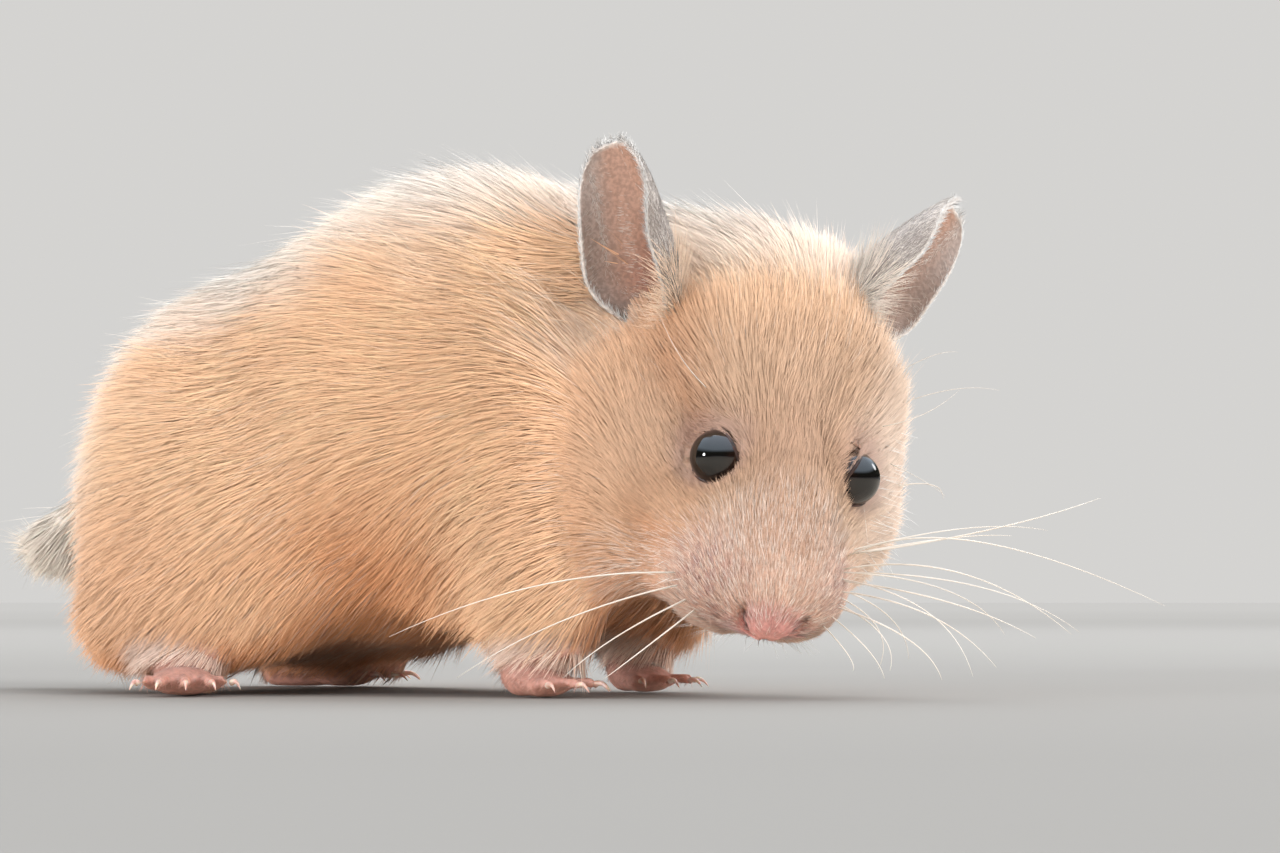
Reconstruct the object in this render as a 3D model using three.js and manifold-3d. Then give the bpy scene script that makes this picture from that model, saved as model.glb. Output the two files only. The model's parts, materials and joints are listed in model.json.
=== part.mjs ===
// A Syrian hamster, life size, as a still model that stands on its four feet.
// Millimetres, +Z up, +X the way the trunk faces, +Y the animal's left, floor at Z = 0.
//
// The flesh, out to the tips of the coat, is a sum of rounded masses (rump, belly, shoulders,
// cheeks, muzzle ...) that melt into each other. It is meshed as one skin and parted into head,
// neck, trunk, tail and legs by thin cuts along ovals. Ears, eyes, feet and whiskers are
// separate solids that meet it with a small gap.
import * as THREE from 'three';
import { mergeVertices } from 'three/addons/utils/BufferGeometryUtils.js';
import Module from 'manifold-3d';

const wasm = await Module();
wasm.setup();

// ---------------------------------------------------------------- driving dimensions

const GAP = 0.3;                 // left between solids that meet
const BODY_FACET = 5.6;          // size of the facets on the trunk and legs
const HEAD_FACET = 2.9;          // and on the head
const EYE_RADIUS = 3.05;
const EYE_SPREAD = 13.2;         // between the eyes' centres
const EYE_LIFT = 0.5;            // of the eyes' centres over the head's own axis
const EAR_LENGTH = 17;           // from inside the head to the rounded tip
const EAR_WIDTH = 11.5;
const EAR_THICKNESS = 0.9;
const FINGER = { length: 4.2, width: 1.5 };
const TOE = { length: 5.2, width: 1.7 };
const CLAW_LENGTH = 1.5;
const WHISKER_THICKNESS = 0.55;

// The head hangs low and is turned to the animal's right.
const EYES_AT = [33.9, -6.3, 22.8];   // midway between the eyes
const HEAD_TURN = 64.5;          // degrees to the right of the trunk's axis
const HEAD_NOD = 54;             // degrees down
const HEAD_TILT = 14;            // degrees, left ear down

// ---------------------------------------------------------------- frames

const rad = THREE.MathUtils.degToRad;
const vec = (p) => new THREE.Vector3(...p);

// A frame at a point, turned by degrees about z, then y, then x.
const frameAt = (at, turn = 0, nod = 0, tilt = 0) => new THREE.Matrix4()
  .makeRotationFromEuler(new THREE.Euler(rad(tilt), rad(nod), rad(turn), 'ZYX'))
  .setPosition(...at);

const bodyFrame = new THREE.Matrix4();
// The head's frame: x towards the nose, y to its left, z up, origin midway between the eyes.
const headFrame = frameAt(EYES_AT, -HEAD_TURN, HEAD_NOD, -HEAD_TILT);

// ---------------------------------------------------------------- rounded masses

// One ellipsoid in a frame, turned by degrees about z and y there. Blend is how far it melts
// into the masses before it.
function mass(frame, at, radii, blend = 0, pitch = 0, yaw = 0) {
  const inverse = frame.clone().multiply(frameAt(at, yaw, pitch)).invert();
  return { inverse, radii, blend };
}

const body = (...args) => mass(bodyFrame, ...args);
const head = (...args) => mass(headFrame, ...args);
// The same mass on the right side and on the left.
const pair = (make, [x, y, z], ...rest) => [make([x, -y, z], ...rest), make([x, y, z], ...rest)];

const TRUNK = [
  body([-29, 0, 24.6], [20, 24, 22], 8),              // rump
  body([-9, 0, 28.8], [25, 24.5, 24.3], 8),           // belly and loin
  body([-1, 0, 36.2], [21.5, 17, 20.3], 8),           // arched back
  body([14, 2, 24], [14, 16.5, 16.5], 8),             // chest
  body([19, 6, 38], [14, 13, 14.4], 8),               // shoulders
  ...pair(body, [-25.5, 16, 17], [18, 9.5, 15.5], 5), // thighs
  ...pair(body, [-35.5, 14.5, 7.2], [8, 6.5, 6], 5),  // hocks
  ...pair(body, [12, 12, 14], [9, 6.5, 11], 5),       // upper arms
  body([8, -11.5, 7.2], [4.5, 4, 6], 3),              // right forearm
  body([9, 9.5, 7.2], [4.5, 4, 6], 3),                // left forearm
  body([-54, 1, 17], [9.5, 4.5, 5.5], 6, -18),        // tail in its tuft
];
const HEAD = [
  head([-14, 0.4, -1], [13.5, 15, 12], 5),            // cranium
  head([-20, -0.3, -2.5], [11, 14.4, 13], 5),         // nape
  head([-1, 0, -1], [12, 8.4, 8], 4),                 // face
  head([8, 0, -3.8], [9, 7.4, 6], 4),                 // bridge of the snout
  ...pair(head, [9, 4.6, -6.2], [5.5, 4.6, 4.4], 3),  // whisker pads
  head([14.6, -0.4, -5], [2.8, 2.8, 2.6], 2),         // nose
  ...pair(head, [-4.5, 9, -6.5], [11, 6.6, 7.5], 3),  // cheeks
  ...pair(head, [3.5, 6, -9.5], [8.5, 5, 5], 4),      // jowls
  head([3, 0, -10], [9, 7, 4.5], 4),                  // jaw
  head([-12, 0, -11], [12, 11, 8], 5),                // throat
];
const FLESH = [...TRUNK, ...HEAD];
const HOLLOWS = [
  ...pair(head, [1.9, EYE_SPREAD / 2 + 3.4, 2.9], [3.4, 3.4, 3.4], 2.5), // round the eyes
  head([-15.5, -19.2, 5.2], [5.5, 5.5, 5.5], 4),      // under the right ear's opening
  head([-15.5, 16.8, 5.2], [5.5, 5.5, 5.5], 4),       // and the left one's
];

// Distance to an ellipsoid, close to true near its surface.
const local = new THREE.Vector3();
function ellipsoidDistance({ inverse, radii: [a, b, c] }, point) {
  local.copy(point).applyMatrix4(inverse);
  const k0 = Math.hypot(local.x / a, local.y / b, local.z / c);
  const k1 = Math.hypot(local.x / (a * a), local.y / (b * b), local.z / (c * c));
  return k1 < 1e-9 ? -Math.min(a, b, c) : (k0 * (k0 - 1)) / k1;
}

// How much two distances round off the corner between them.
const melt = (d, e, blend) => (Math.max(blend - Math.abs(d - e), 0) ** 2 / blend) * 0.25;

// Distance to the flesh: all masses summed, then the hollows taken out, with soft joins.
function fleshDistance(point) {
  let d = 1e3;
  for (const m of FLESH) {
    const e = ellipsoidDistance(m, point);
    d = Math.min(d, e) - melt(d, e, m.blend);
  }
  for (const m of HOLLOWS) {
    const e = -ellipsoidDistance(m, point);
    d = Math.max(d, e) + melt(d, e, m.blend);
  }
  return d;
}

// Moves a point onto the surface at a distance of level.
const gradient = new THREE.Vector3();
const probe = new THREE.Vector3();
function pull(q, distance, level) {
  const step = 0.05;
  for (let turn = 0; turn < 4; turn++) {
    const d = distance(q);
    gradient.set(
      distance(probe.copy(q).setX(q.x + step)) - d,
      distance(probe.copy(q).setY(q.y + step)) - d,
      distance(probe.copy(q).setZ(q.z + step)) - d,
    ).divideScalar(step);
    q.addScaledVector(gradient, (level - d) / Math.max(gradient.lengthSq(), 0.25));
  }
  return q;
}

// ---------------------------------------------------------------- meshing

// A closed skin at a level of a distance, as a net of facets: one point in each cell of a grid
// that the surface crosses, pulled onto the surface, and one quad round each crossed grid edge.
function skinGeometry(distance, box, cell, level) {
  const size = box.getSize(new THREE.Vector3());
  const count = ['x', 'y', 'z'].map((k) => Math.ceil(size[k] / cell) + 1);
  const stride = [1, count[0], count[0] * count[1]];
  const field = new Float64Array(count[0] * count[1] * count[2]);
  const corner = (i, j, k) => vec([i, j, k]).multiplyScalar(cell).add(box.min);
  for (let k = 0, n = 0; k < count[2]; k++)
    for (let j = 0; j < count[1]; j++)
      for (let i = 0; i < count[0]; i++, n++) field[n] = distance(corner(i, j, k)) - level;

  const positions = [];
  const pointOf = new Map();
  for (let k = 0; k < count[2] - 1; k++)
    for (let j = 0; j < count[1] - 1; j++)
      for (let i = 0; i < count[0] - 1; i++) {
        const n = i + j * stride[1] + k * stride[2];
        const sum = new THREE.Vector3();
        let crossings = 0;
        for (let axis = 0; axis < 3; axis++)
          for (let a = 0; a < 2; a++)
            for (let b = 0; b < 2; b++) {
              const [u, v] = [(axis + 1) % 3, (axis + 2) % 3];
              const at = n + a * stride[u] + b * stride[v];
              const [lo, hi] = [field[at], field[at + stride[axis]]];
              if (lo < 0 === hi < 0) continue;
              const offset = [0, 0, 0];
              offset[axis] = lo / (lo - hi);
              offset[u] = a;
              offset[v] = b;
              sum.add(vec(offset));
              crossings++;
            }
        if (!crossings) continue;
        const q = sum.multiplyScalar(cell / crossings).add(corner(i, j, k));
        pull(q, distance, level);
        pointOf.set(n, positions.length / 3);
        positions.push(q.x, q.y, q.z);
      }

  const index = [];
  for (let axis = 0; axis < 3; axis++) {
    const [u, v] = [stride[(axis + 1) % 3], stride[(axis + 2) % 3]];
    for (const n of pointOf.keys()) {
      const [lo, hi] = [field[n], field[n + stride[axis]]];
      if (lo < 0 === hi < 0) continue;
      const ring = [n, n - u, n - u - v, n - v].map((m) => pointOf.get(m));
      if (ring.includes(undefined)) continue;
      const [a, b, c, d] = lo < 0 ? ring : ring.reverse();
      index.push(a, b, c, a, c, d);
    }
  }
  const geometry = new THREE.BufferGeometry();
  geometry.setAttribute('position', new THREE.Float32BufferAttribute(positions, 3));
  geometry.setIndex(index);
  return geometry;
}

// ---------------------------------------------------------------- solids

// A manifold solid of a closed three.js geometry.
function solid(geometry) {
  const bare = new THREE.BufferGeometry();
  bare.setAttribute('position', geometry.attributes.position);
  bare.setIndex(geometry.index);
  const merged = mergeVertices(bare, 1e-4);
  return new wasm.Manifold(new wasm.Mesh({
    numProp: 3,
    vertProperties: new Float32Array(merged.attributes.position.array),
    triVerts: new Uint32Array(merged.index.array),
  }));
}

// The three.js geometry of a solid's largest piece: crumbs that a cut leaves are dropped, and
// slivers within the tolerance.
function geometryOf(manifold, tolerance = 0.08) {
  const pieces = manifold.simplify(tolerance).decompose();
  const [largest] = pieces.sort((a, b) => b.volume() - a.volume());
  const { vertProperties, triVerts } = largest.getMesh();
  const geometry = new THREE.BufferGeometry();
  geometry.setAttribute('position', new THREE.BufferAttribute(new Float32Array(vertProperties), 3));
  geometry.setIndex(new THREE.BufferAttribute(new Uint32Array(triVerts), 1));
  return geometry;
}

const sphere = (around) => new THREE.SphereGeometry(1, around, Math.round(around * 0.6));

// An oval to cut along, and the same oval one gap larger.
function oval(frame, at, radii, around = 14) {
  const place = frame.clone().multiply(frameAt(at));
  const sized = (grow) => solid(sphere(around).scale(...radii.map((r) => r + grow)).applyMatrix4(place));
  return { exact: sized(0), grown: sized(GAP) };
}

const bodyBox = new THREE.Box3(vec([-66, -36, -6]), vec([56, 36, 66]));
const headBox = new THREE.Box3(vec([-5, -45, -15]), vec([70, 40, 70]));
// A wide closed oval round the head, so that its finer skin is closed too.
const nearHead = head([-5, 0, -3], [32, 27, 25]);
const headDistance = (p) => Math.max(fleshDistance(p), ellipsoidDistance(nearHead, p));
const bodySkin = (level) => solid(skinGeometry(fleshDistance, bodyBox, BODY_FACET, level));
const headSkin = (level) => solid(skinGeometry(headDistance, headBox, HEAD_FACET, level));

const SIDES = { right: -1, left: 1 };

// ---------------------------------------------------------------- eyes

const eyes = {};
for (const [side, sign] of Object.entries(SIDES))
  eyes[side] = oval(headFrame, [0, (sign * EYE_SPREAD) / 2, EYE_LIFT], Array(3).fill(EYE_RADIUS), 14);

// ---------------------------------------------------------------- ears

// Each ear grows back, out and up from inside the head; its cup opens out and forward.
const EARS = {
  right: { root: [-18.4, -13.5, 1.2], axis: [-7.8, -5.9, 7], opening: [0.6, -0.68, 0.4] },
  left: { root: [-17.5, 9, 2], axis: [-7.7, 5.7, 6.2], opening: [0.5, 0.75, 0.3] },
};

// A cupped ear: a shell that is rolled at its root and flattens to a rounded tip.
function earGeometry({ root, axis, opening }) {
  const rows = 9;
  const columns = 8;
  const along = vec(axis).normalize();
  const facing = vec(opening).projectOnPlane(along).normalize();
  const across = new THREE.Vector3().crossVectors(along, facing);
  const widest = 0.45;
  const halfWidth = (u) => (EAR_WIDTH / 2) * (u < widest
    ? 0.6 + 0.4 * Math.sin((Math.PI / 2) * (u / widest))
    : Math.sqrt(Math.max(1 - ((u - widest) / (1 - widest)) ** 2.4, 0)));
  // Half the angle that the cup wraps round, at u of its length.
  const wrap = (u) => rad(THREE.MathUtils.lerp(105, 40, Math.min(u / 0.7, 1)));
  // A point of the shell; depth is measured from its mid surface towards the opening.
  const point = (u, v, depth) => {
    const radius = Math.max(halfWidth(u), 0.5) / Math.sin(Math.min(wrap(u), Math.PI / 2));
    const lean = v * wrap(u);
    return vec(root)
      .addScaledVector(along, u * EAR_LENGTH)
      .addScaledVector(facing, radius * (1 - Math.cos(lean)) + depth * Math.cos(lean) - 1.2)
      .addScaledVector(across, (radius - depth) * Math.sin(lean));
  };
  const positions = [];
  for (const depth of [EAR_THICKNESS / 2, -EAR_THICKNESS / 2])
    for (let i = 0; i <= rows; i++)
      for (let j = 0; j <= columns; j++)
        positions.push(...point(1 - (1 - i / rows) ** 1.25, (j / columns) * 2 - 1, depth));
  const layer = (rows + 1) * (columns + 1);
  const at = (i, j, back = 0) => i * (columns + 1) + j + back * layer;
  const index = [];
  const quad = (a, b, c, d) => index.push(a, b, c, a, c, d);
  for (let i = 0; i < rows; i++) {
    for (let j = 0; j < columns; j++) {
      quad(at(i, j), at(i, j + 1), at(i + 1, j + 1), at(i + 1, j));
      quad(at(i, j, 1), at(i + 1, j, 1), at(i + 1, j + 1, 1), at(i, j + 1, 1));
    }
    quad(at(i, 0), at(i + 1, 0), at(i + 1, 0, 1), at(i, 0, 1));
    quad(at(i, columns, 1), at(i + 1, columns, 1), at(i + 1, columns), at(i, columns));
  }
  for (let j = 0; j < columns; j++) {
    quad(at(0, j, 1), at(0, j + 1, 1), at(0, j + 1), at(0, j));
    quad(at(rows, j), at(rows, j + 1), at(rows, j + 1, 1), at(rows, j, 1));
  }
  const geometry = new THREE.BufferGeometry();
  geometry.setAttribute('position', new THREE.Float32BufferAttribute(positions, 3));
  geometry.setIndex(index);
  return geometry.applyMatrix4(headFrame);
}

// ---------------------------------------------------------------- feet

// A toe with its claw, lying along +X from its root, as a turned profile.
function toeGeometry(length, width, grow) {
  const half = width / 2;
  const profile = [
    [0, 0], [half * 0.95, 0.15], [half * 0.8, length * 0.45], [half, length * 0.8],
    [0.35, length + 0.1],
  ].map(([r, x]) => new THREE.Vector2(r && r + grow, x));
  profile.push(new THREE.Vector2(0, length + CLAW_LENGTH + grow));
  return new THREE.LatheGeometry(profile, 5).rotateZ(-Math.PI / 2);
}

// A foot in its own frame: x along it, z up, its pads cut flat where they rest on the floor.
function foot({ at, turn, count, digit, fan, ball, pads }, grow = 0) {
  const parts = pads.map(([p, r]) => sphere(8).scale(...r.map((x) => x + grow)).translate(...p));
  for (let i = 0; i < count; i++) {
    const t = (i / (count - 1)) * 2 - 1;
    parts.push(toeGeometry(digit.length * (1 - 0.22 * t * t), digit.width, grow)
      .rotateY(rad(9))
      .rotateZ(rad(fan * t))
      .translate(ball[0] - 0.8 * t * t, ball[1] * t, digit.width / 2 + 0.75));
  }
  const place = frameAt(at, turn);
  const whole = wasm.Manifold.union(parts.map((g) => solid(g.applyMatrix4(place))));
  return grow ? whole : whole.trimByPlane([0, 0, 1], 0);
}

const HIND = {
  count: 5, digit: TOE, fan: 24, ball: [3.2, 3],
  pads: [[[1.5, 0, 1.5], [4, 3.6, 1.9]], [[-4, 0, 1.8], [5.5, 2.8, 2.4]]],
};
const FORE = {
  count: 4, digit: FINGER, fan: 26, ball: [2, 2.3],
  pads: [[[0.3, 0, 1.5], [3.4, 3, 1.8]], [[-2.6, 0, 2.6], [2.6, 2.2, 2.8]]],
};
const FEET = {
  forefoot_right: { ...FORE, at: [10.5, -13, 0], turn: -12 },
  forefoot_left: { ...FORE, at: [12, 8, 0], turn: -22 },
  hindfoot_right: { ...HIND, at: [-26.5, -21.5, 0], turn: -56 },
  hindfoot_left: { ...HIND, at: [-31, 17, 0], turn: 14 },
};

// ---------------------------------------------------------------- whiskers

// Each whisker leaves its pad near the first point, passes the second and ends at the third, in
// the head's frame.
const WHISKERS = {
  right: [
    [[10.5, -11, -7], [14, -23, -6], [19.5, -37, -10.5]],
    [[11.5, -10, -7.5], [16.5, -20, -7.5], [22.5, -30, -11.5]],
    [[13.5, -9.5, -7.5], [18, -15, -7], [22.5, -20, -9]],
    [[14.5, -8.5, -8], [19, -12.5, -7.5], [22, -16, -9]],
  ],
  left: [
    [[5.5, 12, -3.5], [2.5, 22.5, -1], [-2.5, 34, 0.5]],
    [[6.5, 11, -3], [6, 20, 1], [10.5, 39.5, 1]],
    [[8.5, 10.5, -3.5], [9.5, 18.5, 0], [15, 29.5, 0]],
    [[9.5, 9.5, -5], [12.5, 17, -1], [16.5, 25.5, 0.5]],
    [[11.5, 9, -5], [14, 15, -1.5], [20, 21.5, -0.5]],
    [[13, 8.5, -6], [16.5, 13, -2.5], [21, 16.5, -2.5]],
  ],
};

function whiskerGeometry(route) {
  const [start, bend, tip] = route.map((p) => vec(p).applyMatrix4(headFrame));
  pull(start, fleshDistance, GAP + WHISKER_THICKNESS / 2);
  const half = WHISKER_THICKNESS / 2;
  const section = new THREE.Shape([[-1, -1], [1, -1], [1, 1], [-1, 1]]
    .map(([x, y]) => new THREE.Vector2(x * half, y * half)));
  return new THREE.ExtrudeGeometry(section, {
    steps: 6,
    extrudePath: new THREE.CatmullRomCurve3([start, bend, tip]),
  });
}

// ---------------------------------------------------------------- parting the flesh

const CUTS = {
  head: oval(headFrame, [-5, 0, -3], [25.5, 20.5, 18]),
  neck: oval(headFrame, [-20, 0, -8], [20, 21, 20]),
  tail: oval(bodyFrame, [-57, 1, 16.5], [12, 7, 9]),
  foreleg_right: oval(bodyFrame, [10, -13, 8.5], [8.5, 7.5, 12]),
  foreleg_left: oval(bodyFrame, [11, 11.5, 8.5], [8.5, 7.5, 12]),
  hindleg_right: oval(bodyFrame, [-28, -17.5, 9], [14, 10.5, 13]),
  hindleg_left: oval(bodyFrame, [-30, 17.5, 9], [14, 10.5, 13]),
};

const MATERIALS = {
  fur: { color: 0xe9c3a0, roughness: 0.95 },
  pale_fur: { color: 0xf4e4d2, roughness: 0.95 },
  ear: { color: 0xa8877c, roughness: 0.8 },
  eye: { color: 0x0b0a0a, roughness: 0.08 },
  foot: { color: 0xd99c92, roughness: 0.6 },
  whisker: { color: 0xf1ead8, roughness: 0.5 },
};

const group = new THREE.Group();
function add(name, geometry, slot) {
  const mesh = new THREE.Mesh(geometry, new THREE.MeshStandardMaterial({ ...MATERIALS[slot], metalness: 0 }));
  mesh.name = name;
  group.add(mesh);
}

// The flesh with room for the feet, and each cut's piece of it clear of the cuts before it.
const coarse = wasm.Manifold.difference([
  bodySkin(0),
  ...Object.values(FEET).map((spec) => foot(spec, GAP)),
]);
const fine = headSkin(0).subtract(eyes.right.grown).subtract(eyes.left.grown);
add('head', geometryOf(fine.intersect(CUTS.head.exact)), 'fur');
let rest = coarse.subtract(CUTS.head.grown);
for (const [name, cut] of Object.entries(CUTS)) {
  if (name === 'head') continue;
  add(name, geometryOf(rest.intersect(cut.exact)), name === 'tail' ? 'pale_fur' : 'fur');
  rest = rest.subtract(cut.grown);
}
add('trunk', geometryOf(rest), 'fur');

const clearance = bodySkin(GAP).add(headSkin(GAP));
for (const side of Object.keys(SIDES)) {
  add(`eye_${side}`, geometryOf(eyes[side].exact), 'eye');
  add(`ear_${side}`, geometryOf(solid(earGeometry(EARS[side])).subtract(clearance)), 'ear');
  WHISKERS[side].forEach((route, i) => add(`whisker_${side}_${i + 1}`, whiskerGeometry(route), 'whisker'));
}
for (const [name, spec] of Object.entries(FEET)) add(name, geometryOf(foot(spec)), 'foot');

// The origin goes to the middle of the box round everything, at floor level.
const box = new THREE.Box3().setFromObject(group);
const middle = box.getCenter(new THREE.Vector3());
for (const mesh of group.children) mesh.geometry.translate(-middle.x, -middle.y, -box.min.z);

export default group;
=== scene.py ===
import json
import math
import bpy
import numpy as np
from mathutils import Matrix, Vector
from mathutils.kdtree import KDTree

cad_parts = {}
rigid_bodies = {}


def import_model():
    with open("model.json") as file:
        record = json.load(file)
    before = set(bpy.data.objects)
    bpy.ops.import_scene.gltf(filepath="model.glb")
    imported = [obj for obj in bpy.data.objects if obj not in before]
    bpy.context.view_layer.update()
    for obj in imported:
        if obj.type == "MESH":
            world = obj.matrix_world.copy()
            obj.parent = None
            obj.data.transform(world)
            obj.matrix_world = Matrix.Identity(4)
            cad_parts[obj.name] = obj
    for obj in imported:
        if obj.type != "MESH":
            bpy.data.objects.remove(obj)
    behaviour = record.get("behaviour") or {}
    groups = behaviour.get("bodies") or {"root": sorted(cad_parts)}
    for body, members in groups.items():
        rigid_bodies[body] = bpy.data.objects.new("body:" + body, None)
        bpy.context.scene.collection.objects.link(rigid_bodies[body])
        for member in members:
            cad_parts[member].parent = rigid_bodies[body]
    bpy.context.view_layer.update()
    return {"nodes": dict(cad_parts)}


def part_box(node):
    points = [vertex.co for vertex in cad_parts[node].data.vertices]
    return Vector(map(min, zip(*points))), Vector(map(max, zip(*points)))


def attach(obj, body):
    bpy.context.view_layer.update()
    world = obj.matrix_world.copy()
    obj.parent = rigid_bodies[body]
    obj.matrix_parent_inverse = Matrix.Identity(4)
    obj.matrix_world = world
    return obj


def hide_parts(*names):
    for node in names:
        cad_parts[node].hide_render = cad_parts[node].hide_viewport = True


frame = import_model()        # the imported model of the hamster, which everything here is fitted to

# ---------------------------------------------------------------- Skin
# The hide of a cream Syrian hamster: one loose, unbroken skin over a plump body, pink where the
# coat is thin. Copies of the body's solids are grown together, rounded, and sunk under the coat.
MM = 0.001
HEAD_TURN, HEAD_NOD, HEAD_TILT = (math.radians(d) for d in (-64.5, 54, -14))
EYE_LIFT = 0.5           # of the eyes' centres over the head's own middle line, in mm
COAT_ON_BODY, COAT_ON_HEAD, COAT_ON_MUZZLE, COAT_ON_LEGS, COAT_ON_FEET = 2.9, 1.9, 0.5, 1.3, 0.1
SKIN_GRAIN = 0.35        # size of the skin's faces before they are thinned out, in mm
FLESH = ["head", "neck", "trunk", "tail", "foreleg_right", "foreleg_left", "hindleg_right", "hindleg_left"]


def middle(node):
    low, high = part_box(node)
    return np.array((low + high) / 2)


# The head's own frame: x to the nose, y to the animal's left, z up through the brow.
HEAD_AXES = np.array(Matrix.Rotation(HEAD_TURN, 3, "Z") @ Matrix.Rotation(HEAD_NOD, 3, "Y")
                     @ Matrix.Rotation(HEAD_TILT, 3, "X"))
HEAD_AT = (middle("eye_right") + middle("eye_left")) / 2 - EYE_LIFT * MM * HEAD_AXES[:, 2]
# The body's frame, in mm, lies on the floor under the middle of the back.
BODY_AT = HEAD_AT / MM - (33.9, -6.3, 22.8)


def in_head(points):
    return (np.asarray(points) - HEAD_AT) @ HEAD_AXES / MM


def from_head(places):
    return HEAD_AT + np.asarray(places, float) @ HEAD_AXES.T * MM


def in_body(points):
    return np.asarray(points) / MM - BODY_AT


def from_body(places):
    return (np.asarray(places, float) + BODY_AT) * MM


def ramp(x, low, high):
    t = np.clip((x - low) / (high - low), 0, 1)
    return t * t * (3 - 2 * t)


def unit(v):
    return v / np.maximum(np.linalg.norm(v, axis=-1, keepdims=True), 1e-12)


def reach(places, centre, radii):
    return np.linalg.norm((places - np.array(centre)) / np.array(radii), axis=-1)


def read(items, key, width=3, kind=float):
    """One value of each item of a mesh, in rows."""
    flat = np.empty(len(items) * width, kind)
    items.foreach_get(key, flat)
    return flat.reshape(-1, width)


def points_of(piece):
    return read(piece.data.vertices, "co")


def put_points(piece, points):
    piece.data.vertices.foreach_set("co", np.ascontiguousarray(points).ravel())
    piece.data.update()


def normals_of(piece):
    return read(piece.data.vertices, "normal")


def relax(piece, share, times):
    """Draws each point towards the middle of its neighbours, by its share."""
    a, b = read(piece.data.edges, "vertices", 2, int).T
    p = points_of(piece)
    count = np.bincount(np.concatenate([a, b]), minlength=len(p))
    for _ in range(times):
        for k in range(3):
            total = (np.bincount(a, p[b, k], len(p)) + np.bincount(b, p[a, k], len(p))) / count
            p[:, k] += share * (total - p[:, k])
    put_points(piece, p)


def only(piece):
    bpy.ops.object.select_all(action="DESELECT")
    piece.select_set(True)
    bpy.context.view_layer.objects.active = piece


def on_all_faces(piece, step, **settings):
    """Runs one step of edit mode on all of a piece."""
    only(piece)
    bpy.ops.object.mode_set(mode="EDIT")
    bpy.ops.mesh.select_all(action="SELECT")
    step(**settings)
    bpy.ops.object.mode_set(mode="OBJECT")


def together(pieces, name):
    bpy.ops.object.select_all(action="DESELECT")
    for piece in pieces:
        piece.select_set(True)
    bpy.context.view_layer.objects.active = pieces[0]
    if len(pieces) > 1:
        bpy.ops.object.join()
    pieces[0].name = pieces[0].data.name = name
    return pieces[0]


def finish_with(piece, kind, **settings):
    only(piece)
    modifier = piece.modifiers.new(kind.lower(), kind)
    for key, value in settings.items():
        setattr(modifier, key, value)
    bpy.ops.object.modifier_apply(modifier=modifier.name)


def spun(degrees):
    """A turn about the vertical."""
    turn = math.radians(degrees)
    return np.array([[math.cos(turn), -math.sin(turn), 0], [math.sin(turn), math.cos(turn), 0], [0, 0, 1]])


# The feet have bare pink soles and toes, so they are modelled finely before they join the hide.
# A foot's frame has x along it, and its turn is about the vertical.
FEET = {
    "forefoot_right": dict(at=(10.5, -13), turn=-12, fore=True),
    "forefoot_left": dict(at=(12, 8), turn=-22, fore=True),
    "hindfoot_right": dict(at=(-26.5, -21.5), turn=-56, fore=False),
    "hindfoot_left": dict(at=(-31, 17), turn=14, fore=False),
}
TOE_PROFILE = [(0, 0.95), (0.18, 1.0), (0.4, 0.72), (0.55, 0.86), (0.72, 0.7), (0.86, 0.95), (1, 0.7)]
CLAWS = {}


def foot_frame(spec):
    """Carries places in a foot's own frame to where the foot stands."""
    spin = spun(spec["turn"])
    return lambda places: from_body(np.asarray(places) @ spin.T + (*spec["at"], 0))


def oval(radii, rings=12):
    """A ball stretched to three radii, in mm, about the origin."""
    bpy.ops.object.select_all(action="DESELECT")
    bpy.ops.mesh.primitive_uv_sphere_add(segments=20, ring_count=rings, radius=1)
    piece = bpy.context.object
    put_points(piece, points_of(piece) * radii)
    return piece


def toe(length, width, root, lean, splay):
    """A toe: swelling at its joint and at the pad under its tip, bent down to the floor."""
    piece = oval((1, 1, 1), rings=22)
    p = points_of(piece)
    along = (1 + p[:, 2]) / 2
    round_off = np.sqrt(np.clip(1 - (2 * along - 1) ** 8, 0, 1))
    stout = np.interp(along, *zip(*TOE_PROFILE)) * round_off * width / 2
    side = unit(p[:, :2])
    arch = 0.9 * np.sin(along * math.pi * 0.85)
    shaped = np.stack([along * length, side[:, 0] * stout, side[:, 1] * stout * 1.02 + arch * lean], axis=1)
    spin = spun(splay)

    def place(q):
        return q @ spin.T + np.array(root)

    put_points(piece, place(shaped))
    return piece, place


feet = []
for name, spec in FEET.items():
    fore, here = spec["fore"], foot_frame(spec)
    count, length, width, fan, ball = (4, 4.9, 1.65, 26, (1.6, 2.3)) if fore else (5, 6.0, 1.85, 24, (2.8, 3))
    pads = ([((0.3, 0, 1.55), (3.3, 2.9, 1.6)), ((-2.4, 0, 2.7), (2.6, 2.2, 2.8))] if fore else
            [((1.5, 0, 1.5), (3.9, 3.5, 1.6)), ((-4, 0, 1.8), (5.4, 2.7, 2.2))])
    parts = []
    for centre, radii in pads:
        part = oval(radii)
        put_points(part, points_of(part) + centre)
        parts.append(part)
    for side in (-1, 0, 1):      # the walking pads under the ball of the foot
        part = oval((0.95, 0.8, 0.6))
        put_points(part, points_of(part) + (1.9 - 0.9 * abs(side) + (0 if fore else 1), 1.5 * side, 0.62))
        parts.append(part)
    CLAWS[name] = []
    for i in range(count):
        t = 2 * i / (count - 1) - 1
        long = length * (1 - 0.2 * t * t)
        part, place = toe(long, width, (ball[0] - 0.8 * t * t, ball[1] * t, width / 2 + 0.12), 0.75, fan * t)
        CLAWS[name].append((here, place, long, width))
        parts.append(part)
    foot = together(parts, name + "_flesh")
    p = points_of(foot)
    p[:, 2] = np.maximum(p[:, 2], 0.02)
    put_points(foot, here(p))
    feet.append(foot)

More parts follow.
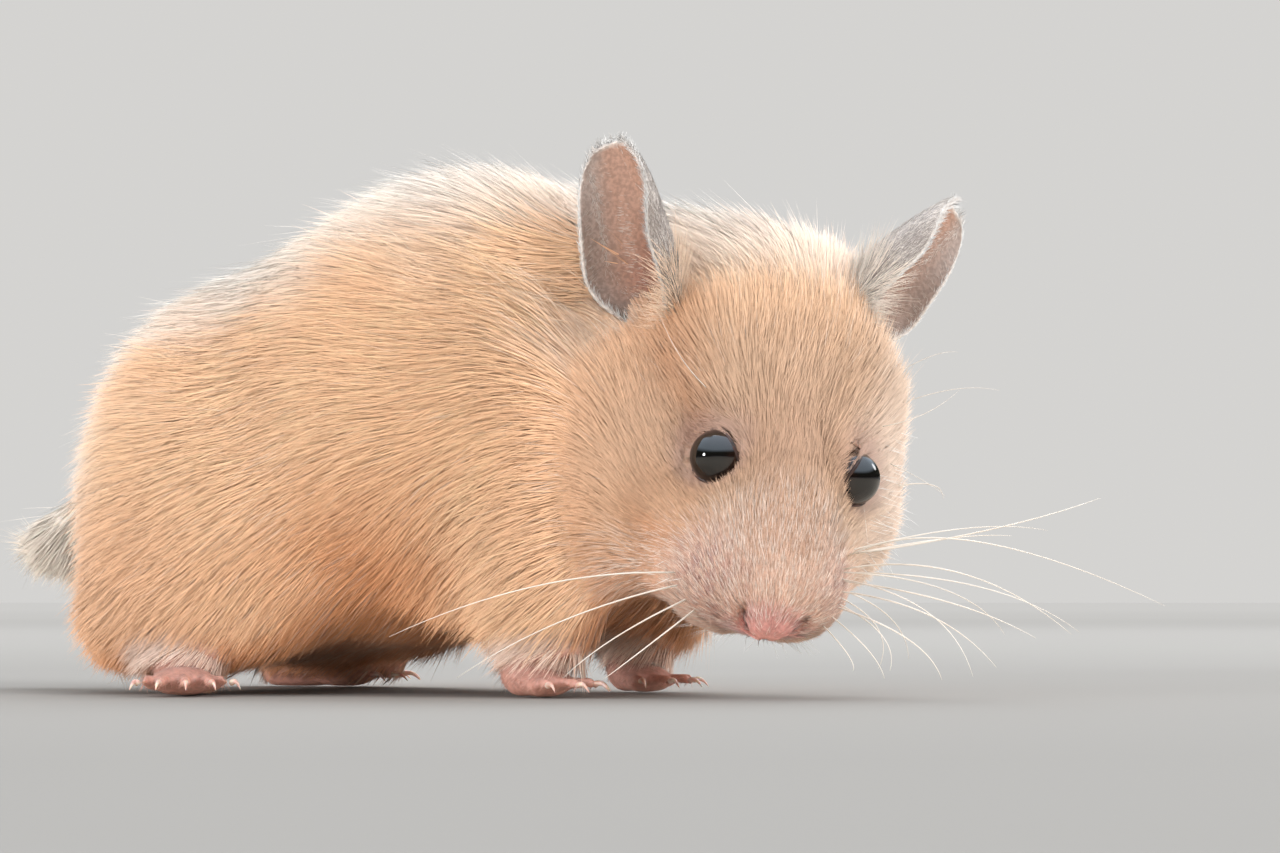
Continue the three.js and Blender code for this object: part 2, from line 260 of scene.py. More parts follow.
bpy.ops.object.select_all(action="DESELECT")
for name in FLESH:
    frame["nodes"][name].select_set(True)
bpy.context.view_layer.objects.active = frame["nodes"][FLESH[0]]
bpy.ops.object.duplicate()
bpy.ops.object.join()
skin = bpy.context.object
for key in list(skin.keys()):
    del skin[key]
bpy.ops.object.parent_clear(type="CLEAR_KEEP_TRANSFORM")
skin.data.materials.clear()
on_all_faces(skin, bpy.ops.mesh.remove_doubles, threshold=1e-6)
finish_with(skin, "DISPLACE", strength=0.25 * MM, mid_level=0)
skin = together([skin, *feet], "skin")
finish_with(skin, "REMESH", mode="VOXEL", voxel_size=SKIN_GRAIN * MM, use_smooth_shade=True)


def on_feet(points):
    """1 on the bare feet, and 0 above the ankles."""
    found = np.zeros(len(points))
    d = in_body(points)
    for spec in FEET.values():
        turn = math.radians(-spec["turn"])
        x, y = (d[:, :2] - spec["at"]).T
        local = np.stack([x * math.cos(turn) - y * math.sin(turn),
                          x * math.sin(turn) + y * math.cos(turn), d[:, 2]], axis=1)
        centre, radii = ((1.2, 0, 1.2), (7.5, 5, 4.2)) if spec["fore"] else ((1, 0, 1), (10, 5.5, 4.2))
        found = np.maximum(found, 1 - ramp(reach(local, centre, radii), 0.8, 1.15))
    return found


def on_head(points, start=0.95, end=1.25):
    """1 on the head and 0 off it."""
    return 1 - ramp(reach(in_head(points), (-3, 0, -4), (21, 17, 15)), start, end)


def coat_depth(points):
    """How deep the skin lies under the tips of the coat, in mm."""
    x, y, _ = in_head(points).T
    face = COAT_ON_HEAD + (1.15 - COAT_ON_HEAD) * ramp(x, -9, 6)
    face = face + (COAT_ON_MUZZLE - face) * ramp(x, 7, 14)
    face = face + 0.9 * ramp(y, 4, 9) * ramp(x, 1, 8)
    depth = COAT_ON_BODY + (face - COAT_ON_BODY) * on_head(points)
    d = in_body(points)
    depth = depth + 0.9 * ramp(-d[:, 0], 26, 42) * ramp(d[:, 2], 8, 20)
    depth = depth + (COAT_ON_LEGS - depth) * (1 - ramp(d[:, 2], 3, 15)) * (1 - on_head(points))
    depth = depth + (0.7 - depth) * ramp(-d[:, 0], 46.5, 49.5)
    return depth + (COAT_ON_FEET - depth) * on_feet(points)


p = points_of(skin)
bare = on_feet(p)
relax(skin, 0.5 * np.clip(1 - bare, 0.04, 1) * (1 - 0.85 * on_head(p)), 110)
relax(skin, 0.5 * (1 - bare) * on_head(p) + 0.08, 14)
p = points_of(skin)
put_points(skin, p - normals_of(skin) * coat_depth(p)[:, None] * MM)
relax(skin, 0.5 * (1 - 0.9 * on_feet(p)), 6)


def split_faces(piece, where):
    """Splits each face whose middle the given test picks into four."""
    only(piece)
    piece.data.polygons.foreach_set("select", where(read(piece.data.polygons, "center")))
    bpy.ops.object.mode_set(mode="EDIT")
    bpy.ops.mesh.select_mode(type="FACE")
    bpy.ops.mesh.subdivide(number_cuts=1)
    bpy.ops.object.mode_set(mode="OBJECT")


GAZE = np.array([0.35, 0.75, 0.55])      # of the left eye, in the head's frame
EYES = {-1: np.array([0, -6.6, EYE_LIFT]), 1: np.array([0, 7.2, EYE_LIFT])}    # right and left


def off_eyes(h, radius=1):
    """The distance from places to the middle of the nearer eye, in mm or in such radii."""
    return np.minimum(*(reach(h, eye, [radius] * 3) for eye in EYES.values()))


def near_face(radius, muzzle):
    """A test for places near the eyes or on the muzzle."""
    def test(points):
        h = in_head(points)
        return (off_eyes(h, radius) < 1) | (reach(h, (14.5, -0.2, -6.5), (7.5, 7.5, 6)) < muzzle)
    return test


split_faces(skin, near_face(5.2, 1.0))
p = points_of(skin)
relax(skin, 0.5 * near_face(5.4, 1.0)(p), 3)

EYE_BALL = 2.85           # radius of the ball that shows between the lids
LID_SECTION = [(-3, -0.6), (-1.5, 0.02), (-0.5, 0.08), (1, 0.13), (3, 0.15), (5, 0.1),
               (7.5, -0.05), (10, -0.45), (4, -0.9)]      # degrees past the line, and mm off the ball


def about_eye(side):
    """The middle of an eye, its gaze, and the directions to its front corner and upper lid."""
    gaze = unit(GAZE * (1, side, 1))
    corner = np.array([0.82, -0.33 * side, -0.09])
    corner = unit(corner - gaze * (corner @ gaze))
    return EYES[side], gaze, corner, np.cross(gaze, corner) * -side


LID_LINE = [(0, 108), (15, 102), (30, 93), (45, 83), (60, 74), (75, 68), (90, 65), (105, 65), (120, 68),
            (150, 75), (180, 77), (210, 75), (240, 71), (270, 67), (300, 64), (315, 65), (330, 70),
            (345, 84), (360, 108)]


def lid_opening(around, side):
    """How far the lids open from the gaze, in degrees, round the eye from its front corner."""
    hooded = 0.16 * (side > 0) * np.clip(np.cos(around - math.radians(75)), 0, 1)
    return np.interp(np.degrees(around) % 360, *zip(*LID_LINE)) * (1 - hooded)


def past_line(beside, side):
    """How far ways from the middle of an eye point outside the line of its lids, in degrees."""
    _, gaze, corner, brow = about_eye(side)
    opening = lid_opening(np.arctan2(beside @ brow, beside @ corner), side)
    return np.degrees(np.arccos(np.clip(beside @ gaze, -1, 1))) - opening


def past_lids(h):
    """How far places near the eyes lie outside the lids' line, in degrees about the nearer eye."""
    found = np.full(len(h), 180.0)
    for side, eye in EYES.items():
        past = past_line(unit(h - eye), side)
        found = np.where(np.linalg.norm(h - eye, axis=1) < 4.5, np.minimum(found, past), found)
    return found


def added(name, data):
    thing = bpy.data.objects.new(name, data)
    bpy.context.scene.collection.objects.link(thing)
    return thing


def built(name, points, faces):
    """A new piece from points, in metres, and faces."""
    mesh = bpy.data.meshes.new(name)
    mesh.from_pydata(points, [], faces)
    return added(name, mesh)


def turn_outward(piece):
    on_all_faces(piece, bpy.ops.mesh.normals_make_consistent, inside=False)
    bpy.ops.object.shade_smooth()


# The hide is drawn onto each eyeball, and goes under it inside the lids.
lids = []
h = in_head(points_of(skin))
for side in (-1, 1):
    eye, gaze, corner, brow = about_eye(side)
    out = h - eye
    far = np.linalg.norm(out, axis=1)
    beside = out / far[:, None]
    past = past_line(beside, side)
    lid = EYE_BALL + 0.1 + 0.28 * ramp(past, 3, 13)
    rising = np.minimum(lid + (far - lid) * ramp(past, 12, 40), lid + 0.035 * np.maximum(past, 0))
    new = np.where(past < 3, EYE_BALL * 0.75, rising)
    h = eye + beside * (far + (new - far) * (1 - ramp(far, 7, 8.5)))[:, None]
    # The lid's own rim: a wet, dark welt that goes once round the opening.
    section, turns = np.array(LID_SECTION, float), 72
    around = np.linspace(0, 2 * math.pi, turns, endpoint=False)
    angle = np.radians(lid_opening(around, side)[:, None] + section[:, 0])
    rise = EYE_BALL + section[:, 1]
    ring = (eye + rise[None, :, None] * (np.cos(angle)[..., None] * gaze + np.sin(angle)[..., None] * (
        np.cos(around)[:, None, None] * corner + np.sin(around)[:, None, None] * brow)))
    count = len(section)
    faces = [(i * count + j, i * count + (j + 1) % count, (i + 1) % turns * count + (j + 1) % count,
              (i + 1) % turns * count + j) for i in range(turns) for j in range(count)]
    welt = built("lid", from_head(ring.reshape(-1, 3)).tolist(), faces)
    turn_outward(welt)
    lids.append(welt)
put_points(skin, from_head(h))
round_eyes = off_eyes(h, 6.5)
clear_of_lids = ramp(round_eyes * 6.5, 3.3, 4.3) * (1 - ramp(round_eyes, 1.2, 1.5))
relax(skin, 0.5 * clear_of_lids, 26)


def press(h, line, width, depth, towards):
    """Presses a soft groove into the skin along a line laid on it. A depth below 0 raises it."""
    line = np.array(line, float)
    steps = np.linspace(0, len(line) - 1, 5 * len(line))
    line = np.stack([np.interp(steps, np.arange(len(line)), line[:, k]) for k in range(3)], axis=1)
    line = np.array([h[np.argmin(((h - q) ** 2).sum(1))] for q in line])
    gap = np.full(len(h), 1e9)
    for start, end in zip(line[:-1], line[1:]):
        t = np.clip((h - start) @ (end - start) / max((end - start) @ (end - start), 1e-9), 0, 1)
        gap = np.minimum(gap, np.linalg.norm(h - start - t[:, None] * (end - start), axis=1))
    return h + unit(np.array(towards) - h) * (depth * (1 - ramp(gap, 0, width)))[:, None]


# The nose pad, its two comma-shaped nostrils, the cleft down to the split lip, and the mouth.
NOSE_Y = -0.4
h = in_head(points_of(skin))
pad = [(16.6, NOSE_Y + 1.2, -4.9), (16.8, NOSE_Y, -5.2), (16.6, NOSE_Y - 1.2, -4.9)]
h = press(h, pad, 2.3, -0.55, (9, NOSE_Y, -4.5))
for side in (-1, 1):
    wing = [(14.6, NOSE_Y + 3.4 * side, -4.0), (16, NOSE_Y + 3.1 * side, -5.6)]
    h = press(h, wing, 1.3, -0.25, (10, NOSE_Y, -6))
    nostril = [(15.0, NOSE_Y + 2.5 * side, -3.7), (16.2, NOSE_Y + 2.45 * side, -4.9),
               (16.9, NOSE_Y + 1.5 * side, -6.0)]
    h = press(h, nostril, 0.7, 1.0, (12, NOSE_Y + 0.6 * side, -6.5))
    h = press(h, nostril[1:2] * 2, 0.75, 0.7, (12, NOSE_Y + 0.6 * side, -6.5))
    upper_lip = [(13, NOSE_Y + 3 * side, -10), (10, NOSE_Y + 5 * side, -10.5)]
    h = press(h, upper_lip, 2.4, -0.35, (8, NOSE_Y, -5))
cleft = [(17.4, NOSE_Y, -5.8), (15.8, NOSE_Y, -8), (14.2, NOSE_Y, -9.6), (12.6, NOSE_Y, -11)]
h = press(h, cleft, 0.6, 0.75, (9, NOSE_Y, -5))
for side in (-1, 1):
    mouth = [(12.6, NOSE_Y, -11.2), (10.5, NOSE_Y + 2.8 * side, -12), (7, NOSE_Y + 5.4 * side, -12.4),
             (3.5, NOSE_Y + 7 * side, -12.2)]
    h = press(h, mouth, 0.9, 0.9, (5, NOSE_Y, -6))
put_points(skin, from_head(h))
finish_with(skin, "DECIMATE", ratio=0.42)


def finish_material(name, colour, roughness, **sockets):
    """A plain start for a finish: one Principled shader with its fixed numbers on its own sockets."""
    material = bpy.data.materials.new(name)
    material.use_nodes = True
    shader = material.node_tree.nodes["Principled BSDF"]
    shader.inputs["Base Color"].default_value = (*colour, 1)
    shader.inputs["Roughness"].default_value = roughness
    for socket, value in sockets.items():
        shader.inputs[socket.replace("_", " ")].default_value = value
    return material, shader


def new_nodes(tree, *kinds):
    return [tree.nodes.new("ShaderNode" + kind) for kind in kinds]


def set_stop(ramp_node, k, at, colour):
    stop = ramp_node.color_ramp.elements[k]
    stop.position, stop.color = at, colour


def mottled(material, shader, scale, first, second):
    """Gives a finish two tones that follow a fine noise, each one a place on the ramp and a colour."""
    noise, place, tones = new_nodes(material.node_tree, "TexNoise", "TexCoord", "ValToRGB")
    noise.inputs["Scale"].default_value = scale
    set_stop(tones, 0, *first)
    set_stop(tones, 1, *second)
    links = material.node_tree.links
    links.new(place.outputs["Object"], noise.inputs["Vector"])
    links.new(noise.outputs["Fac"], tones.inputs["Fac"])
    links.new(tones.outputs["Color"], shader.inputs["Base Color"])


skin_look, skin_shader = finish_material("hide", (0.75, 0.5, 0.4), 0.55,
                                         Subsurface_Weight=0.15, Subsurface_Scale=0.0008)
skin_shader.inputs["Subsurface Radius"].default_value = (1.0, 0.4, 0.25)
skin.data.materials.append(skin_look)
only(skin)
bpy.ops.object.shade_smooth()
lid_look, lid_shader = finish_material("lid", (0.02, 0.014, 0.012), 0.4)
mottled(lid_look, lid_shader, 1400, (0.35, (0.012, 0.009, 0.008, 1)), (0.7, (0.075, 0.03, 0.022, 1)))
for welt in lids:
    welt.data.materials.append(lid_look)
skin = together([skin, *lids], "skin")
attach(skin, "root")
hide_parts(*FLESH, *FEET)

# ---------------------------------------------------------------- Eyes
# Two bulging, nearly black eyes: glossy wet balls with a low clear cornea, each set in its lids.
for name, side in (("right", -1), ("left", 1)):
    at, gaze, corner, _ = about_eye(side)
    bpy.ops.object.select_all(action="DESELECT")
    bpy.ops.mesh.primitive_uv_sphere_add(segments=64, ring_count=48, radius=1)
    eye = bpy.context.object
    eye.name = eye.data.name = "eyeball_" + name
    p = points_of(eye)
    from_gaze = np.degrees(np.arccos(np.clip(p[:, 2], -1, 1)))
    p *= (EYE_BALL + 0.12 * (1 - ramp(from_gaze, 20, 60)))[:, None]
    put_points(eye, from_head(at + p @ np.stack([corner, np.cross(gaze, corner), gaze])))
    bpy.ops.object.shade_smooth()
    from_gaze = np.degrees(np.arccos(np.clip(unit(in_head(points_of(eye)) - at) @ gaze, -1, 1)))
    iris = ramp(from_gaze, 40, 85)
    eye.data.attributes.new("iris", "FLOAT", "POINT").data.foreach_set("value", iris)
    eye_look, eye_shader = finish_material("eye_" + name, (0.006, 0.005, 0.005), 0.03, IOR=1.6)
    rings, place, fleck, blend, tones = new_nodes(eye_look.node_tree, "Attribute", "TexCoord", "TexNoise",
                                                  "Math", "ValToRGB")
    rings.attribute_name, blend.operation = "iris", "MULTIPLY"
    fleck.inputs["Scale"].default_value = 1800
    set_stop(tones, 0, 0, (0.004, 0.0035, 0.0035, 1))
    set_stop(tones, 1, 0.6, (0.02, 0.007, 0.004, 1))
    links = eye_look.node_tree.links
    links.new(place.outputs["Object"], fleck.inputs["Vector"])
    links.new(rings.outputs["Fac"], blend.inputs[0])
    links.new(fleck.outputs["Fac"], blend.inputs[1])
    links.new(blend.outputs["Value"], tones.inputs["Fac"])
    links.new(tones.outputs["Color"], eye_shader.inputs["Base Color"])
    eye.data.materials.append(eye_look)
    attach(eye, "root")
    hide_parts("eye_" + name)

# ---------------------------------------------------------------- Ears
# Two thin, cupped ears, rolled at the root and rounded at the tip: nearly bare skin, pinkish
# brown inside and smoky grey towards the margins, with a fold at the foot of the front edge.
EARS = {
    "right": dict(side=-1, root=(-16.0, -10.2, -1.2), axis=(-7.9, -5.7, 7.0), opening=(0.6, -0.68, 0.4),
                  length=21.2, arcs=(8.2, 8.0), wraps=(128, 74), set_back=0.3, sweep=0.9),
    "left": dict(side=1, root=(-16.9, 6.1, 0.7), axis=(-7.7, 6.4, 5.0), opening=(0.5, 0.75, 0.3),
                 length=20.4, arcs=(9.5, 8.6), wraps=(104, 88), set_back=2.0, sweep=2.4),
}
FRONT_EDGE = [(0, 0.55), (0.12, 0.75), (0.24, 0.9), (0.36, 0.98), (0.5, 1.0), (0.62, 0.96), (0.74, 0.86),
              (0.85, 0.67), (0.93, 0.47), (0.98, 0.27), (1, 0.12)]
REAR_EDGE = [(0, 0.36), (0.12, 0.7), (0.24, 1.0), (0.34, 1.1), (0.46, 1.06), (0.6, 0.96), (0.74, 0.81),
             (0.85, 0.65), (0.93, 0.48), (0.98, 0.3), (1, 0.14)]
EAR_ROWS, EAR_COLUMNS, EAR_THICKNESS = 40, 33, 0.45


def soft_line(x, points):
    """A smooth curve through a few points."""
    xs, ys = np.array(points).T
    slope = np.gradient(ys, xs)
    k = np.clip(np.searchsorted(xs, x) - 1, 0, len(xs) - 2)
    step = xs[k + 1] - xs[k]
    t = (x - xs[k]) / step
    return ((2 * t**3 - 3 * t**2 + 1) * ys[k] + (t**3 - 2 * t**2 + t) * step * slope[k]
            + (3 * t**2 - 2 * t**3) * ys[k + 1] + (t**3 - t**2) * step * slope[k + 1])


def ear_ways(spec):
    """The directions to an ear's tip, out of its opening, and to its front margin."""
    up = unit(np.array(spec["axis"]))
    out = np.array(spec["opening"])
    out = unit(out - up * (out @ up))
    return up, out, -unit(np.cross(up, out)) * spec["side"]


def ear_sheet(spec):
    """The middle of an ear's thin sheet. u runs from root to tip, v from the rear margin to the front one."""
    rows = 1 - (1 - np.linspace(0, 1, EAR_ROWS)) ** 1.3
    u, v = np.meshgrid(rows, np.linspace(-1, 1, EAR_COLUMNS), indexing="ij")
    front_arc, rear_arc = spec["arcs"]
    along = np.where(v > 0, front_arc * soft_line(u, FRONT_EDGE), rear_arc * soft_line(u, REAR_EDGE)) * v
    wrap = np.where(v > 0, *spec["wraps"]) * (1 - 0.45 * ramp(u, 0.55, 1)) + 20 * (1 - ramp(u, 0.05, 0.35))
    turn = np.radians(wrap) * v
    step, heading = np.diff(along, axis=1), (turn[:, 1:] + turn[:, :-1]) / 2
    depth = np.cumsum(np.pad(step * np.sin(heading), ((0, 0), (1, 0))), axis=1)
    aside = np.cumsum(np.pad(step * np.cos(heading), ((0, 0), (1, 0))), axis=1)
    spine = slice(EAR_COLUMNS // 2, EAR_COLUMNS // 2 + 1)
    fold = 0.5 * np.exp(-(((v + 0.25) / 0.16) ** 2)) * ramp(u, 0.1, 0.3) * (1 - ramp(u, 0.5, 0.8))
    ripple = 0.25 * np.sin(6 * v + 2) * (1 - u)
    depth = depth - depth[:, spine] - 0.8 - spec["set_back"] * (1 - ramp(u, 0.3, 1))
    depth = depth - 0.8 * u**2 + fold - ripple
    aside = aside - aside[:, spine] + spec["sweep"] * (np.sin(math.pi * u**1.3) - 0.5 * u)
    height = u * spec["length"] - 4.8 * v * u * (1 - u)
    return u, v, turn, height, depth, aside


def in_ear(places):
    """How far into an ear's bowl places lie, from 0 to 1, and the bowl's depth behind them."""
    inside, drop = np.zeros(len(places)), np.zeros((len(places), 3))
    for spec in EARS.values():
        up, out, front = ear_ways(spec)
        q = places - np.array(spec["root"])
        row = np.clip(q @ up / spec["length"], 0, 1)
        u, _, turn, _, depth, aside = ear_sheet(spec)
        rows = np.searchsorted(u[:, 0], row).clip(0, EAR_ROWS - 1)
        open_part = np.abs(turn) < math.radians(80)
        behind, room = np.full(len(q), -1e3), np.zeros(len(q))
        for k in np.unique(rows):
            here = rows == k
            x, z = aside[k][open_part[k]], depth[k][open_part[k]]
            order = np.argsort(x)
            behind[here] = np.interp(q[here] @ front, x[order], z[order])
            room[here] = np.minimum(q[here] @ front - x.min(), x.max() - q[here] @ front)
        fit = ramp(room, -0.2, 1.2) * ramp(row, 0.13, 0.24) * (1 - ramp(row, 0.75, 0.8))
        gap = q @ out - behind
        part = fit * ramp(gap, -1.5, -0.5) * (1 - ramp(gap, 9, 12))
        inside = np.maximum(inside, part)
        drop -= (fit * np.clip(gap + 1.0, 0, 12) * (gap < 12))[:, None] * out
    return inside, drop


# The hide sinks into each ear's bowl, so that the shell lines it.
h = in_head(points_of(skin))
put_points(skin, from_head(h + in_ear(h)[1]))


def lay_out(piece):
    """Unwraps a piece onto a flat layout, on which its hairs find their places."""
    on_all_faces(piece, bpy.ops.uv.smart_project, angle_limit=math.radians(66), island_margin=0.001)
    piece.data.uv_layers.active.name = "OFBake"


ears = {}
for name, spec in EARS.items():
    up, out, front = ear_ways(spec)
    u, v, turn, height, depth, aside = ear_sheet(spec)
    places = np.array(spec["root"]) + height[..., None] * up + depth[..., None] * out
    places = places + aside[..., None] * front
    inward = -np.sin(turn)[..., None] * front + np.cos(turn)[..., None] * out
    quads = [(k, k + 1, k + 1 + EAR_COLUMNS, k + EAR_COLUMNS)
             for i in range(EAR_ROWS - 1) for k in range(i * EAR_COLUMNS, (i + 1) * EAR_COLUMNS - 1)]
    ear = built("ear_shell_" + name, from_head(places.reshape(-1, 3)).tolist(), quads)
    finish_with(ear, "SOLIDIFY", thickness=EAR_THICKNESS * MM, offset=0)
    finish_with(ear, "SUBSURF", levels=1, render_levels=1)
    turn_outward(ear)
    lay_out(ear)
    grid = KDTree(places.shape[0] * places.shape[1])
    for k, place in enumerate(from_head(places.reshape(-1, 3))):
        grid.insert(place, k)
    grid.balance()
    ears[name] = dict(piece=ear, grid=grid, u=u.ravel(), v=v.ravel(),
                      inward=inward.reshape(-1, 3) @ HEAD_AXES.T)


def on_ear(name, points, normals):
    """The nearest u and v on an ear's sheet, and 1 on its inner face or -1 on its outer one."""
    ear = ears[name]
    nearest = np.array([ear["grid"].find(p)[1] for p in points])
    return ear["u"][nearest], ear["v"][nearest], np.sign((normals * ear["inward"][nearest]).sum(1))


def tint(red, green, blue):
    """A colour as the eye reads it, from 0 to 255, as the light it reflects."""
    c = np.array([red, green, blue]) / 255
    return np.where(c < 0.04045, c / 12.92, ((c + 0.055) / 1.055) ** 2.4)


def mix(a, b, share):
    return a + (b - a) * np.asarray(share)[..., None]


def layered(colour, *layers):
    """A colour under others, each with its share."""
    for over, share in layers:
        colour = mix(colour, over, share)
    return colour


def paint(piece, colour):
    """Stores a colour at each point of a piece."""
    rgba = np.concatenate([colour, np.ones((len(colour), 1))], axis=1)
    piece.data.attributes.new("coat_colour", "FLOAT_COLOR", "POINT").data.foreach_set("color", rgba.ravel())


def speckled(material, shader, scale, level_at, levels, bump=None):
    """The colour painted on the piece, mottled by a fine grain, which may also roughen the surface."""
    links = material.node_tree.links
    painted, place, grain, level, shade = new_nodes(material.node_tree, "Attribute", "TexCoord", "TexNoise",
                                                    "MapRange", "Mix")
    painted.attribute_name = "coat_colour"
    grain.inputs["Scale"].default_value, grain.inputs["Detail"].default_value = scale, 3
    for name, value in zip(("From Min", "From Max", "To Min", "To Max"), (*level_at, *levels)):
        level.inputs[name].default_value = value
    shade.data_type, shade.blend_type = "RGBA", "MULTIPLY"
    shade.inputs["Factor"].default_value = 1
    links.new(place.outputs["Object"], grain.inputs["Vector"])
    links.new(grain.outputs["Fac"], level.inputs["Value"])
    links.new(painted.outputs["Color"], shade.inputs["A"])
    links.new(level.outputs["Result"], shade.inputs["B"])
    links.new(shade.outputs["Result"], shader.inputs["Base Color"])
    if bump:
        rough, = new_nodes(material.node_tree, "Bump")
        rough.inputs["Strength"].default_value, rough.inputs["Distance"].default_value = bump
        links.new(grain.outputs["Fac"], rough.inputs["Height"])
        links.new(rough.outputs["Normal"], shader.inputs["Normal"])


EAR_PINK, EAR_RED, EAR_GREY = tint(182, 144, 126), tint(142, 80, 62), tint(168, 156, 150)
EAR_DARK, EAR_RIM = tint(128, 118, 112), tint(242, 234, 228)
for name in EARS:
    ear = ears[name]["piece"]
    p, n = points_of(ear), normals_of(ear)
    u, v, face = on_ear(name, p, n)
    inner = layered(
        EAR_PINK + 0 * p,
        (EAR_GREY, 0.75 * ramp(np.maximum(-v, 0), 0.35, 0.85)),
        (EAR_RED, 0.95 * np.exp(-(((u - 0.3) / 0.16) ** 2) - ((v - 0.15) / 0.5) ** 2)),
        # Painted shade: darker at the foot of the bowl, where it runs deep into the head.
        (EAR_DARK, 0.8 * (1 - ramp(u, 0.14, 0.26))))
    outer = mix(EAR_GREY + 0 * p, EAR_DARK, 0.7 * ramp(v, 0.1, 0.7) * (1 - ramp(u, 0.75, 0.95)))
    colour = np.where(face[:, None] > 0, inner, outer)
    # The margins are whitened: partly their own pale edge, and partly a painted rim highlight where light
    # from behind catches them.
    margin = np.maximum(ramp(np.abs(v), 0.93, 1.0), ramp(u, 0.965, 1.0))
    colour = mix(colour, EAR_RIM, 0.8 * margin)
    paint(ear, colour)
    ear_look, ear_shader = finish_material("ear_" + name, tuple(EAR_PINK), 0.55)
    speckled(ear_look, ear_shader, 2600, (0.4, 0.62), (0.78, 1.08), bump=(0.25, 0.0002))
    ear.data.materials.append(ear_look)
    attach(ear, "root")
    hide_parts("ear_" + name)

# ---------------------------------------------------------------- Claws
# Small, sharp, clear claws of horn, one to each toe, growing out over the pad and curving down.
def tube(route, radii, sides):
    """A closed, tapered tube along a route."""
    heading = unit(np.gradient(route, axis=0))
    across = unit(np.cross(heading, heading[len(route) // 2] + np.array([0.3, 0.2, 0.9])))
    over = np.cross(heading, across)
    turn = np.linspace(0, 2 * math.pi, sides, endpoint=False)
    count = len(route)
    rings = route[:, None] + np.asarray(radii)[:, None, None] * (
        np.cos(turn)[:, None] * across[:, None] + np.sin(turn)[:, None] * over[:, None])
    faces = [(i + j, i + (j + 1) % sides, i + sides + (j + 1) % sides, i + sides + j)
             for i in range(0, (count - 1) * sides, sides) for j in range(sides)]
    ends = [tuple(range(sides))[::-1], tuple((count - 1) * sides + k for k in range(sides))]
    return rings.reshape(-1, 3), faces + ends


def tubes(name, routes, thick, thin, sides, ease=1.0):
    """One mesh of several tapered tubes."""
    points, faces = [], []
    for route in routes:
        radii = thin + (thick - thin) * (1 - np.linspace(0, 1, len(route))) ** ease
        new_points, new_faces = tube(np.asarray(route), radii, sides)
        faces += [tuple(k + len(points) for k in face) for face in new_faces]
        points += new_points.tolist()
    piece = built(name, points, faces)
    turn_outward(piece)
    return piece


claw_look, claw_shader = finish_material("claw", tuple(tint(232, 208, 196)), 0.3,
                                         Subsurface_Weight=0.3, Subsurface_Scale=0.0006)
mottled(claw_look, claw_shader, 900, (0.35, (*tint(214, 160, 146), 1)), (0.65, (*tint(240, 224, 212), 1)))
for name, toes in CLAWS.items():
    routes = []
    for here, place, long, width in toes:
        t = np.linspace(0, 1, 8)
        reach_out = 1.7 if name.startswith("fore") else 2.0
        height = 0.42 + 0.28 * np.sin(math.pi * t * 0.9) - 0.75 * t**2
        line = place(np.stack([long - 0.5 + reach_out * t, 0 * t, height], axis=1))
        line[:, 2] = np.maximum(line[:, 2], 0.1)
        routes.append(here(line))
    claw = tubes("claws_" + name, routes, 0.34 * MM, 0.03 * MM, 10, ease=0.8)
    claw.data.materials.append(claw_look)
    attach(claw, "root")

# ---------------------------------------------------------------- Coat
# A dense, soft coat of cream and apricot fur, a few millimetres long on the body and less than
# one on the muzzle and feet. Each tuft is a thin tapered lock that grows out of the hide and
# lies back along the body, and neighbouring tufts draw together towards their tips.
APRICOT, CREAM, PALE = tint(250, 192, 148), tint(250, 205, 166), tint(250, 238, 228)
WHITE, UNDERSIDE_SHADE, PAINTED_SHADE = tint(250, 246, 242), tint(234, 158, 106), tint(202, 146, 108)
FACE, BRIDGE, MUZZLE = tint(222, 184, 154), tint(196, 156, 130), tint(238, 198, 178)
FOLLICLE, NOSE, SMOKE = tint(176, 122, 118), tint(228, 166, 168), tint(180, 146, 138)
PAW, WRIST, TAIL = tint(206, 154, 140), tint(248, 226, 216), tint(250, 234, 218)
NOSE_TIP = (17.2, NOSE_Y, -5.6)


def waves(places, size, seed):
    """A soft, irregular pattern from -1 to 1, its blotches about as wide as size, in mm."""
    draw = np.random.default_rng(seed)
    total = np.zeros(len(places))
    for _ in range(7):
        way = unit(draw.normal(size=3))
        total += np.sin(places @ way * (2 * math.pi / size) * draw.uniform(0.6, 1.5) + draw.uniform(0, 6.28))
    return total / 3.2


def off_ear_foot(h, spec):
    """The distance from places to the foot of an ear's front margin, in mm."""
    up, _, front = ear_ways(spec)
    return np.linalg.norm(h - (np.array(spec["root"]) + 6 * up + 3.5 * front), axis=1)


def whisker_pad(h):
    """1 on the pads beside the nose, where the whiskers' dark roots show, and 0 off them."""
    beside_nose = 0.4 + 0.6 * ramp(np.abs(h[:, 1] - NOSE_Y), 1.2, 3.2)
    return (1 - ramp(reach(h, (10.5, NOSE_Y, -5), (6.5, 9, 5.5)), 0.7, 1.15)) * beside_nose


